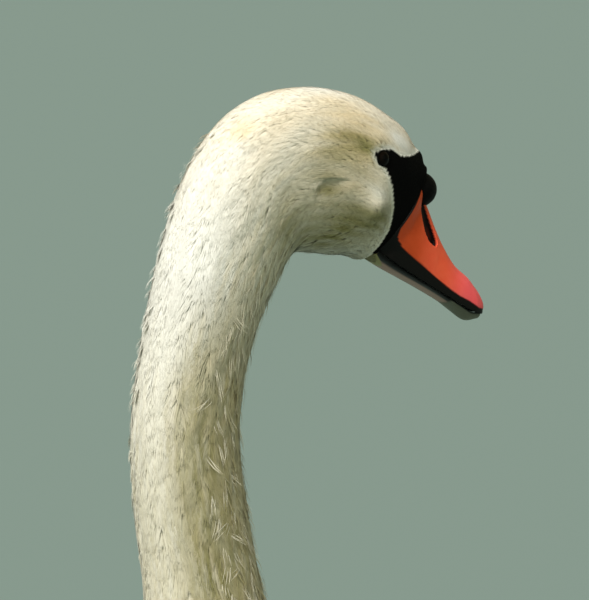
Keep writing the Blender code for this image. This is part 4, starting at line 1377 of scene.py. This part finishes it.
def buildEyes():
    ballLook = eyeMaterial()
    lidLook = darkSkinMaterial("LidSkin", *eye["lid"], 0.80, 1500.0, 0.0003)
    for side, word in ((1, "left"), (-1, "right")):
        centre = middleOf("eye_" + word)
        axes = axesOf((eye["out"][0], side * eye["out"][1], eye["out"][2]))
        buildEyeball(word, centre, axes, ballLook)
        buildLid(word, centre, axes, lidLook)


buildEyes()
print("bill, knob and eyes made")


# The folded wing: the stations that it runs between, its length and its breadth over the curve,
# its thickness in front and behind, its room over the body, its upper and lower edge in degrees
# round the body from front to rear, and the share of its length and breadth that the core under
# the feathers takes. Covered is how far inside its front, rear, upper and lower edge the body
# needs no feathers.
wing = {
    "front": "breast", "rear": "tailRoot", "long": 0.52, "broad": 0.27,
    "thick": 0.021, "thickRear": 0.009, "clear": 0.0034,
    "topAngles": (62, 34, 9, 2, 1.5, 3), "lowAngles": (94, 112, 112, 108, 98, 80), "rearmost": -0.20,
    "arch": 0.05, "rows": 90, "across": 60, "coreForward": (0.02, 0.95), "coreDown": (0.16, 0.955),
    "coreShare": 0.40, "coreDepth": 0.0048, "coreThick": 0.0010, "covered": (0.04, 0.02, 0.14, 0.08),
}
wingStart, wingEnd = stationAt(wing["front"]), stationAt(wing["rear"])


def wingSwell(u, down):
    # The wing's thickness, from its front (u is 0) to its rear: sin(pi * down) ^ 0.55, fading out
    # at both ends.
    full = wing["thickRear"] + (wing["thick"] - wing["thickRear"]) * np.clip((1 - u) / 0.55, 0, 1)
    swell = full * np.sin(np.pi * np.clip(down, 0, 1)) ** 0.55 * np.sqrt(np.clip(u / 0.16, 0, 1))
    return swell * smoothStep(1.12, 0.98, u)


def wingEdges(u):
    # The angles round the body of the wing's upper and lower edge.
    at = np.linspace(0, 1, len(wing["topAngles"]))
    return (np.radians(np.interp(u, at, wing[key])) for key in ("topAngles", "lowAngles"))


def wingSurface(forward, down, depth=0.0):
    # forward is 1 at the wing's front and 0 at its rear; down is 0 at the back and 1 at the lower
    # edge. The wing stands out from the body by its swell and a little room.
    u = 1 - forward
    top, low = wingEdges(u)
    along = wingStart + (wingEnd - wingStart) * u
    clear = wing["clear"] * smoothStep(0.0, 0.14, u) * (0.35 + 0.65 * smoothStep(-0.10, 0.12, down))
    return bodySurface(along, top + (low - top) * down, depth - wingSwell(u, down) - clear)


def besideWings(along, angle):
    # Keeps body feathers where no wing lies over them.
    u = (along - wingStart) / (wingEnd - wingStart)
    turn = np.abs((angle + np.pi) % (2 * np.pi) - np.pi)
    top, low = wingEdges(u)
    down = (turn - top) / (low - top)
    front, rear, upper, lower = wing["covered"]
    return ~((u > front) & (u < 1 - rear) & (down > upper) & (down < 1 - lower))


def bodyMarks(along, angle):
    cloudy = 0.5 + 0.25 * blotches(along * 0.5, angle)
    front = smoothStep(stationAt("shoulder"), stationAt("neckBase"), along)
    return {"tan": 0.02 * cloudy, "olive": 0.03 * cloudy, "cream": 0.10 * cloudy + 0.30 * front * cloudy}


def wingMarks(forward, down):
    cloudy = 0.5 + 0.25 * blotches(forward * 0.3, down * 3)
    return {"tan": 0.01 * cloudy, "olive": 0.02 * cloudy, "cream": 0.10 * cloudy}


def vaneCoat(marks, turn=2 * np.pi):
    # What a coat of webbed feathers is made of; turn is how much of its second number one image holds.
    return {"material": bodyFeatherLook, "marks": marks, "barbed": True, "turn": turn}


# The kinds of wing feather: where their roots begin and end along and down the wing, how many
# there are in one row (or the spacing of several rows), length, width, root and tip depth in
# metres, how far they turn down and how far their lower edge rolls out.
wingFeathers = {
    "primaries": {
        "shape": "quill", "forward": (0.34, 0.24), "down": (0.24, 0.96), "count": 10,
        "length": (0.235, 0.150), "width": 0.032, "depths": (0.0052, 0.0016), "heading": -0.05,
        "roll": -0.0012,
    },
    "secondaries": {
        "shape": "quill", "forward": (0.55, 0.44), "down": (0.20, 1.00), "count": 20,
        "length": (0.200, 0.165), "width": 0.038, "depths": (0.0058, 0.0012), "heading": -0.08,
        "roll": -0.0016,
    },
    "tertials": {
        "shape": "quill", "forward": (0.50, 0.60), "down": (0.03, 0.36), "count": 10,
        "length": (0.215, 0.200), "width": 0.050, "depths": (0.0050, 0.0000), "heading": 0.00,
        "roll": -0.0016,
    },
    "greaterCoverts": {
        "shape": "quill", "forward": (0.69, 0.60), "down": (0.14, 1.00), "count": 24,
        "length": (0.112, 0.088), "width": 0.034, "depths": (0.0056, -0.0002), "heading": -0.07,
        "roll": -0.0012,
    },
    "medianCoverts": {
        "shape": "vane", "forward": (0.84, 0.64), "down": (0.08, 1.00), "spacing": 0.0150,
        "length": 0.062, "width": 0.028, "depths": (0.0056, -0.0006), "heading": -0.05, "roll": -0.0006,
    },
    "lesserCoverts": {
        "shape": "vane", "forward": (1.00, 0.80), "down": (0.00, 1.00), "spacing": 0.0105,
        "length": 0.042, "width": 0.0190, "depths": (0.0052, -0.0009), "heading": -0.03,
        "roll": -0.0003,
    },
    "scapulars": {
        "shape": "vane", "forward": (0.97, 0.46), "down": (-0.13, 0.22), "spacing": 0.0150,
        "length": 0.088, "width": 0.034, "depths": (0.0044, -0.0016), "heading": 0.16, "roll": -0.0006,
    },
}


def rowRoots(kind):
    # One row of roots from the first to the last place, evenly, slightly shaken.
    share = (np.arange(kind["count"]) + 0.5) / kind["count"]
    forward, down, length = (between(kind[key], share) for key in ("forward", "down", "length"))
    return forward + rng.uniform(-0.004, 0.004, len(share)), down, length


def fieldRoots(kind):
    # Rows of roots a spacing apart, every other row shifted, as overlapping tiles lie.
    high, low = kind["forward"]
    upper, lower = kind["down"]
    rows = int((high - low) * wing["long"] / (kind["spacing"] * 0.80)) + 1
    perRow = int(wing["broad"] * (lower - upper) / kind["spacing"]) + 1
    row, column = pairs(np.arange(rows), np.arange(perRow))
    forward = low + (high - low) * (row + 0.5) / rows + rng.uniform(-0.003, 0.003, len(row))
    down = upper + (lower - upper) * (column + 0.25 + 0.5 * (row % 2)) / perRow
    down = down + rng.uniform(-0.006, 0.006, len(row))
    return forward, down, np.full(len(row), kind["length"])


def softShading(count):
    # The vanes shade nearly as one surface: a little round across and along, shaken by hundredths.
    return {"lean": rng.normal(0, 0.025, count), "round": 0.30, "tipLean": 0.20,
            "pitch": rng.normal(0, 0.025, count)}


def buildWings():
    # Every kind of feather on the left wing and then, with its own shakes, on the right, over a core.
    for mirrored, word in ((False, "left"), (True, "right")):
        for name, kind in wingFeathers.items():
            forward, down, length = rowRoots(kind) if "count" in kind else fieldRoots(kind)
            count = len(forward)
            length = length * rng.uniform(0.94, 1.06, count)
            width = kind["width"] * rng.uniform(0.92, 1.08, count)
            heading = kind["heading"] + rng.normal(0, 0.035, count)
            depths = (kind["depths"][0], kind["depths"][1] + rng.uniform(-0.0002, 0.0002, count))
            layBlades(f"{name}_{word}", kind["shape"], wingSurface, (forward, down), heading, length,
                      width, depths, rng.normal(0, 0.012, count), vaneCoat(wingMarks, 1.2), (0.0, 1.0),
                      1.5, shading=softShading(count), arch=wing["arch"], roll=kind["roll"],
                      ragged=0.03, mirrored=mirrored, limits=(wing["rearmost"], 1.0))
        buildWingCore(mirrored, word)


def buildWingCore(mirrored, word):
    # A closed shell under the wing's feathers, deep enough that it never shows between them: an
    # outer and an inner sheet, joined at the rim.
    rows, across = wing["rows"], wing["across"]
    forward, down = pairs(np.linspace(*wing["coreForward"], rows), np.linspace(*wing["coreDown"], across))
    swell = wingSwell(1 - forward, down)
    outer = wingSurface(forward, down, wing["coreShare"] * swell + wing["coreDepth"])
    inner = wingSurface(forward, down, swell + wing["coreDepth"] + wing["coreThick"])
    cloud = np.concatenate([outer, inner]) * np.array([1, -1 if mirrored else 1, 1])
    marks = {key: np.tile(value, 2) for key, value in wingMarks(forward, down).items()}
    marks["black"] = np.zeros(len(cloud))
    faces = facingOut(cloud, shellFaces(rows, across))
    core = makePiece("wingCore_" + word, cloud, faces, skinLook, marks)
    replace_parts(core, "wing_" + word, "primaries_" + word)


buildWings()
print("wings made")


bodyCoat = {"lengthSpread": 0.18, "turnSpread": 0.09, "bendSpread": 0.03, "rough": 0.03, "sway": 0.07}


def layBody(name, start, end):
    # Rounded feathers wherever no wing lies over the body, each patch with its own soft sway.
    along, angle = scatterRoots(bodySurface, start, end, (0, 2 * np.pi), lambda s: coatAt(s, 3),
                                besideWings, jitter=0.22)
    count = len(along)
    broad = waves(9, 0.16, 0.08, 0.14)
    heading = bodyCoat["sway"] * broad(along, angle) + rng.normal(0, bodyCoat["turnSpread"], count)
    length = coatAt(along, 1) * (1 + bodyCoat["lengthSpread"] * rng.uniform(-1, 1, count))
    width = coatAt(along, 2) * rng.uniform(0.85, 1.15, count)
    depth = coatAt(along, 0)
    tip = depth * rng.uniform(0.0, bodyCoat["rough"], count)
    layBlades(name, "scale", bodySurface, (along, angle), heading, length, width, (depth * 0.8, tip),
              rng.normal(0, bodyCoat["bendSpread"], count), vaneCoat(bodyMarks), (start, end), 1.6,
              shading=softShading(count), arch=0.03, ragged=0.05)


bodyCuts = [stationAt(name) for name in ("tailRoot", "middle", "breast")]
for number, (low, high) in enumerate(zip(bodyCuts[:-1], bodyCuts[1:])):
    layBody(f"bodyFeathers{number}", low, high)


# The tail's two fans: the point that they turn about, how far from it their roots lie, how many
# quills, half the spread in radians, length in the middle and at the sides, and the CAD tail's
# middle height and half thickness at each x.
tailFeathers = {
    "pivot": -0.290, "root": 0.060, "count": 15, "spread": 0.40, "length": (0.124, 0.088),
    "width": 0.025, "depths": (0.0060, 0.0004), "beside": 0.0011, "camber": 1.6, "least": 0.0004,
    "x": (-0.490, -0.460, -0.405, -0.335, -0.292), "z": (0.1920, 0.190, 0.186, 0.181, 0.177),
    "thick": (0.0012, 0.0030, 0.0080, 0.0180, 0.0460),
}
tailCoverts = {"spacing": 0.0095, "length": 0.046, "width": 0.0165, "rootShare": 0.7}


def tailSheet(side):
    # A fan about its pivot: x = pivot - reach * cos, y = reach * sin; its height is half the tail's
    # thickness, falling off as camber * y ^ 2. The under sheet is the upper one turned over.
    def sheet(along, angle, depth=0.0):
        reach = -along
        x = tailFeathers["pivot"] - reach * np.cos(angle)
        y = side * reach * np.sin(angle)
        middle = np.interp(x, tailFeathers["x"], tailFeathers["z"])
        half = np.interp(x, tailFeathers["x"], tailFeathers["thick"])
        rise = half - tailFeathers["camber"] * y ** 2 - depth
        return np.stack([x, y, middle + side * np.maximum(rise, tailFeathers["least"])], axis=-1)
    return sheet


def tailMarks(along, angle):
    return {"tan": 0.01 + 0 * along, "olive": 0.02 + 0 * along, "cream": 0.10 + 0.05 * np.cos(9 * angle)}


def buildTail():
    # Long quills fanned over the top of the tail, the middle ones longest and on top, the same
    # under it, and short coverts over their roots.
    kind = tailFeathers
    share = np.linspace(-1, 1, kind["count"])
    share = share[np.argsort(-np.abs(share))]
    count = len(share)
    length = between(kind["length"], np.abs(share) ** 1.4)
    tip = kind["depths"][1] + kind["beside"] * np.abs(share)
    for word, side in (("upper", 1.0), ("under", -1.0)):
        layBlades(f"tailFeathers_{word}", "quill", tailSheet(side),
                  (np.full(count, -kind["root"]), kind["spread"] * share), rng.normal(0, 0.01, count),
                  length, kind["width"], (kind["depths"][0], tip), rng.normal(0, 0.01, count),
                  vaneCoat(tailMarks), (-0.2, 0.0), 1.6, shading=softShading(count), arch=0.02,
                  ragged=0.02, limits=(-0.30, -0.01))
    start, end = stationAt("tailMiddle") + 0.01, stationAt("rump")
    along, angle = scatterRoots(bodySurface, start, end, (0, 2 * np.pi),
                                lambda s: tailCoverts["spacing"], jitter=0.2)
    count = len(along)
    depth = coatAt(along, 0)
    layBlades("tailCoverts", "vane", bodySurface, (along, angle), rng.normal(0, 0.06, count),
              tailCoverts["length"], tailCoverts["width"],
              (depth * tailCoverts["rootShare"], depth * rng.uniform(-0.2, 0.0, count)),
              rng.normal(0, 0.02, count), vaneCoat(bodyMarks), (bodyKnots[0], stationAt("loin")), 1.6,
              shading=softShading(count), arch=0.03, ragged=0.05)


buildTail()
print("body and tail feathered")


# The shaft lies along the floor from heel to foot and the shank rises from the heel into the body.
# Flat is how far the undersides are pressed flat; pitch and ridge are those of the scutes.
legs = {
    "heelRadius": 0.0105, "shaft": 0.0069, "heelSide": 0.088, "jointSide": 0.096, "flat": 0.0008,
    "shankRise": (0.012, 0.004, 0.052), "shank": (0.0090, 0.0135), "rows": 110, "around": 30,
    "pitch": 0.0042, "ridge": 0.00055, "claw": 0.0135, "clawRadius": 0.0029, "toeRadius": 0.0049,
    "toePitch": 0.0030, "toeRidge": 0.00035, "hindClaw": 0.007, "hindStop": 0.004, "hindSlim": 0.72,
    "skin": ((0.010, 0.010, 0.009), (0.034, 0.034, 0.030)),
    "horn": ((0.012, 0.011, 0.009), (0.045, 0.040, 0.032)),
}
# The webs: thickness, how far their front edge hangs back, the height of their ribs, points along
# and across, and how near they come to the floor.
web = {"thick": 0.0022, "sag": 0.13, "rib": 0.00022, "rows": 70, "across": 32, "lowest": 0.0003}
# Length and angle outwards in degrees of each toe.
toes = {"inner": (0.112, -14), "middle": (0.142, 4), "outer": (0.134, 21), "hind": (0.026, 216)}


def tube(path, radii, around, pitch, ridge, reference=(0.0, 0.0, 1.0)):
    # Rings across a path, each centre + radius * (side * sin + up * cos), with scutes across the
    # upper half, ridge * |sin(pi * distance / pitch)| ^ 0.5, and fine lines along the lower half.
    # Ends in points; nothing goes under the floor.
    path = np.asarray(path, float)
    distance = np.concatenate([[0], np.cumsum(np.linalg.norm(np.diff(path, axis=0), axis=1))])
    tangent = unit(np.gradient(path, axis=0))
    side = unit(np.cross(tangent, np.array(reference)))
    up = np.cross(side, tangent)
    turn = fullTurn(around)
    onTop = smoothStep(-0.3, 0.5, np.cos(turn))[None]
    scute = np.abs(np.sin(np.pi * distance / pitch))[:, None] ** 0.5 * onTop
    split = 0.35 * np.abs(np.sin(5 * turn))[None] * (1 - onTop)
    radius = np.asarray(radii)[:, None] + ridge * (scute + split - 0.6)
    spoke = np.sin(turn)[None, :, None] * side[:, None] + np.cos(turn)[None, :, None] * up[:, None]
    cloud = path[:, None] + radius[..., None] * spoke
    cloud = np.concatenate([cloud.reshape(-1, 3), [path[0], path[-1]]])
    cloud[:, 2] = np.maximum(cloud[:, 2], 0.0002)
    return cloud, facingOut(cloud, closedFaces(len(path), around))


def joined(parts):
    # Several point and face sets as one.
    clouds, quads, fans, offset = [], [], [], 0
    for cloud, faces in parts:
        clouds.append(cloud)
        for face in faces:
            (quads if face.shape[1] == 4 else fans).append(face + offset)
        offset += len(cloud)
    return np.concatenate(clouds), [np.concatenate(kind) for kind in (quads, fans) if kind]


def swollen(share, places, heights, width):
    # Swellings of the joints, a bell at each place.
    bells = (height * np.exp(-((share - place) / width) ** 2) for place, height in zip(places, heights))
    return sum(bells)


def roundEnd(share, reach, least=0.0):
    # From nothing to one within its reach, as a quarter circle.
    return np.sqrt(np.clip(1 - (1 - np.clip(share / reach, 0, 1)) ** 2, least, 1))


def webSheet(root, first, last):
    # Between two toes: root + reach * (hung edge - root), ribbed along the reach; a thin shell.
    reach, across = np.meshgrid(np.linspace(0.04, 1, web["rows"]), np.linspace(0, 1, web["across"]),
                                indexing="ij")
    straight = first + (last - first) * across[..., None]
    edge = straight + (root - straight) * (web["sag"] * np.sin(np.pi * across))[..., None]
    sheet = root + reach[..., None] * (edge - root)
    rib = web["rib"] * (np.sin(34 * across + 3 * reach) * reach + 0.6 * np.sin(95 * reach + 4 * across))
    middle = np.sin(np.pi * across)
    top = web["thick"] + 0.0009 * (1 - middle) + rib * middle
    low = sheet.copy()
    sheet[..., 2] = np.minimum(top, 0.0004 + 0.05 * (1 - reach) + 0.0022)
    low[..., 2] = web["lowest"]
    cloud = np.concatenate([sheet.reshape(-1, 3), low.reshape(-1, 3)])
    return cloud, facingOut(cloud, shellFaces(*reach.shape))


def buildLeg(word, side, share, look):
    # The shaft, swollen at heel and foot, and the shank. Returns where the foot starts.
    low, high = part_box("leg_" + word)
    lying = legs["heelRadius"] - legs["flat"]
    heel = np.array([low.x + legs["heelRadius"], side * legs["heelSide"], lying])
    joint = np.array([high.x, side * legs["jointSide"], legs["shaft"] - legs["flat"]])
    ends = roundEnd(share, 0.07) * roundEnd(1 - share, 0.05)
    radii = legs["shaft"] + swollen(share, (0.07, 0.96), (0.0040, 0.0012), 0.07)
    start = heel + (heel - joint) * 0.09
    shaft = tube(start + (joint - start) * share[:, None], radii * (0.02 + 0.98 * ends), legs["around"],
                 legs["pitch"], legs["ridge"])
    forward, inward, up = legs["shankRise"]
    top = heel + np.array([forward, -side * inward, up])
    shank = tube(heel + (top - heel) * share[:, None], between(legs["shank"], share), legs["around"],
                 legs["pitch"], legs["ridge"] * 0.5, (1.0, 0.0, 0.0))
    cloud, faces = joined([shaft, shank])
    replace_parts(makePiece("legSkin_" + word, cloud, faces, look), "leg_" + word)
    return joint


def buildToe(root, side, name, share):
    # One toe and its claw, and the place on the floor that the web reaches.
    length, turn = toes[name]
    turn = math.radians(turn)
    hind = name == "hind"
    aim = np.array([math.cos(turn), side * math.sin(turn), 0])
    reach = length - (legs["hindStop"] if hind else legs["claw"])
    slim = legs["hindSlim"] if hind else 1.0
    radii = legs["toeRadius"] * slim * (1.06 - 0.38 * share)
    radii = radii + swollen(share, (0.10, 0.42, 0.68, 0.93), (0.0008, 0.0006, 0.0005, 0.0004), 0.045)
    path = root + aim * (reach * share)[:, None]
    path[:, 2] = radii - legs["flat"] * 0.6 + 0.0012 * np.sin(np.pi * share * 3) ** 2
    toe = tube(path, radii * roundEnd(1 - share, 0.04, 0.0004), legs["around"], legs["toePitch"],
               legs["toeRidge"])
    tip = root + aim * reach * 0.95
    tip[2] = 0
    clawShare = np.linspace(0, 1, 40)
    clawLength = legs["hindClaw"] if hind else legs["claw"]
    clawPath = path[-1] + aim * (clawLength * (clawShare - 0.15))[:, None]
    clawPath[:, 2] = radii[-1] * 0.9 + 0.0012 * np.sin(np.pi * clawShare) - 0.0016 * clawShare ** 2
    thin = legs["clawRadius"] * slim * (1 - clawShare) ** 0.6
    return toe, tube(clawPath, np.maximum(thin, 0.0003), 24, 1.0, 0.0), tip


def buildLegs():
    look = darkSkinMaterial("LegSkin", *legs["skin"], 0.55, 700.0, 0.0004)
    horn = darkSkinMaterial("ClawHorn", *legs["horn"], 0.40, 900.0, 0.0001)
    share = np.linspace(0, 1, legs["rows"])
    for side, word in ((1, "left"), (-1, "right")):
        joint = buildLeg(word, side, share, look)
        root = joint + np.array([legs["toeRadius"], 0, legs["toeRadius"] - legs["shaft"]])
        skins, claws, tips = zip(*(buildToe(root, side, name, share) for name in toes))
        flatRoot = np.array([root[0], root[1], 0.0])
        inner, middle, outer, _ = tips
        webs = [webSheet(flatRoot, inner, middle), webSheet(flatRoot, middle, outer)]
        cloud, faces = joined([*skins, *webs])
        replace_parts(makePiece("footSkin_" + word, cloud, faces, look), "foot_" + word)
        cloud, faces = joined(claws)
        makePiece("claws_" + word, cloud, faces, horn)


buildLegs()
print("legs and feet made")


# Where the camera looks from, in degrees and metres, and how far its aim lies from the middle of
# the head; then the lights (the way to each, strength, width in degrees and colour), the sky's
# colour and strength, and the floor.
viewPoint = {
    "azimuth": 30.0, "elevation": 5.0, "distance": 4.0, "lens": 369.2,
    "aside": (-0.0147, -0.0281, -0.0729),
}
lights = {
    "key": ((-0.54, -0.16, 0.84), 5.2, 40.0, (1.0, 0.975, 0.92)),
    "fill": ((0.30, -1.0, 0.35), 0.25, 60.0, (0.92, 1.0, 0.92)),
}
sky = {"Color": (0.46, 0.46, 0.30, 1.0), "Strength": 0.55}
paleFloor = {"reach": 120.0, "colour": (0.144, 0.196, 0.182, 1.0)}


def placeCamera():
    turn, rise = math.radians(viewPoint["azimuth"]), math.radians(viewPoint["elevation"])
    back = Vector((-math.sin(turn) * math.cos(rise), -math.cos(turn) * math.cos(rise), math.sin(rise)))
    camera = bpy.data.cameras.new("camera")
    camera.lens = viewPoint["lens"]
    camera.sensor_width = 36.0
    camera.clip_start, camera.clip_end = 0.1, 300.0
    holder = bpy.data.objects.new("camera", camera)
    aim = Vector(middleOf("head")) + Vector(viewPoint["aside"])
    holder.location = aim + back * viewPoint["distance"]
    holder.rotation_euler = back.to_track_quat("Z", "Y").to_euler()
    bpy.context.scene.collection.objects.link(holder)
    bpy.context.scene.camera = holder


def placeLights():
    scene = bpy.context.scene
    world = bpy.data.worlds.new("studio")
    world.use_nodes = True
    for socket, value in sky.items():
        world.node_tree.nodes["Background"].inputs[socket].default_value = value
    scene.world = world
    for name, (towards, strength, angle, colour) in lights.items():
        lamp = bpy.data.lights.new(name, "SUN")
        lamp.energy = strength
        lamp.angle = math.radians(angle)
        lamp.color = colour
        holder = bpy.data.objects.new(name, lamp)
        holder.rotation_euler = Vector(towards).to_track_quat("Z", "Y").to_euler()
        scene.collection.objects.link(holder)


def placeFloor():
    material, _, shader = newMaterial("PaleFloor")
    shader.inputs["Base Color"].default_value = paleFloor["colour"]
    shader.inputs["Roughness"].default_value = 0.95
    shader.inputs["Specular IOR Level"].default_value = 0.1
    mesh = bpy.data.meshes.new("floor")
    reach = paleFloor["reach"]
    corners = [(-reach, -reach, 0), (reach, -reach, 0), (reach, reach, 0), (-reach, reach, 0)]
    mesh.from_pydata(corners, [], [(0, 1, 2, 3)])
    mesh.materials.append(material)
    floor = bpy.data.objects.new("floor", mesh)
    bpy.context.scene.collection.objects.link(floor)


placeCamera()
placeLights()
placeFloor()
bpy.context.scene.view_settings.view_transform = "Standard"
print("camera, lights and floor placed")
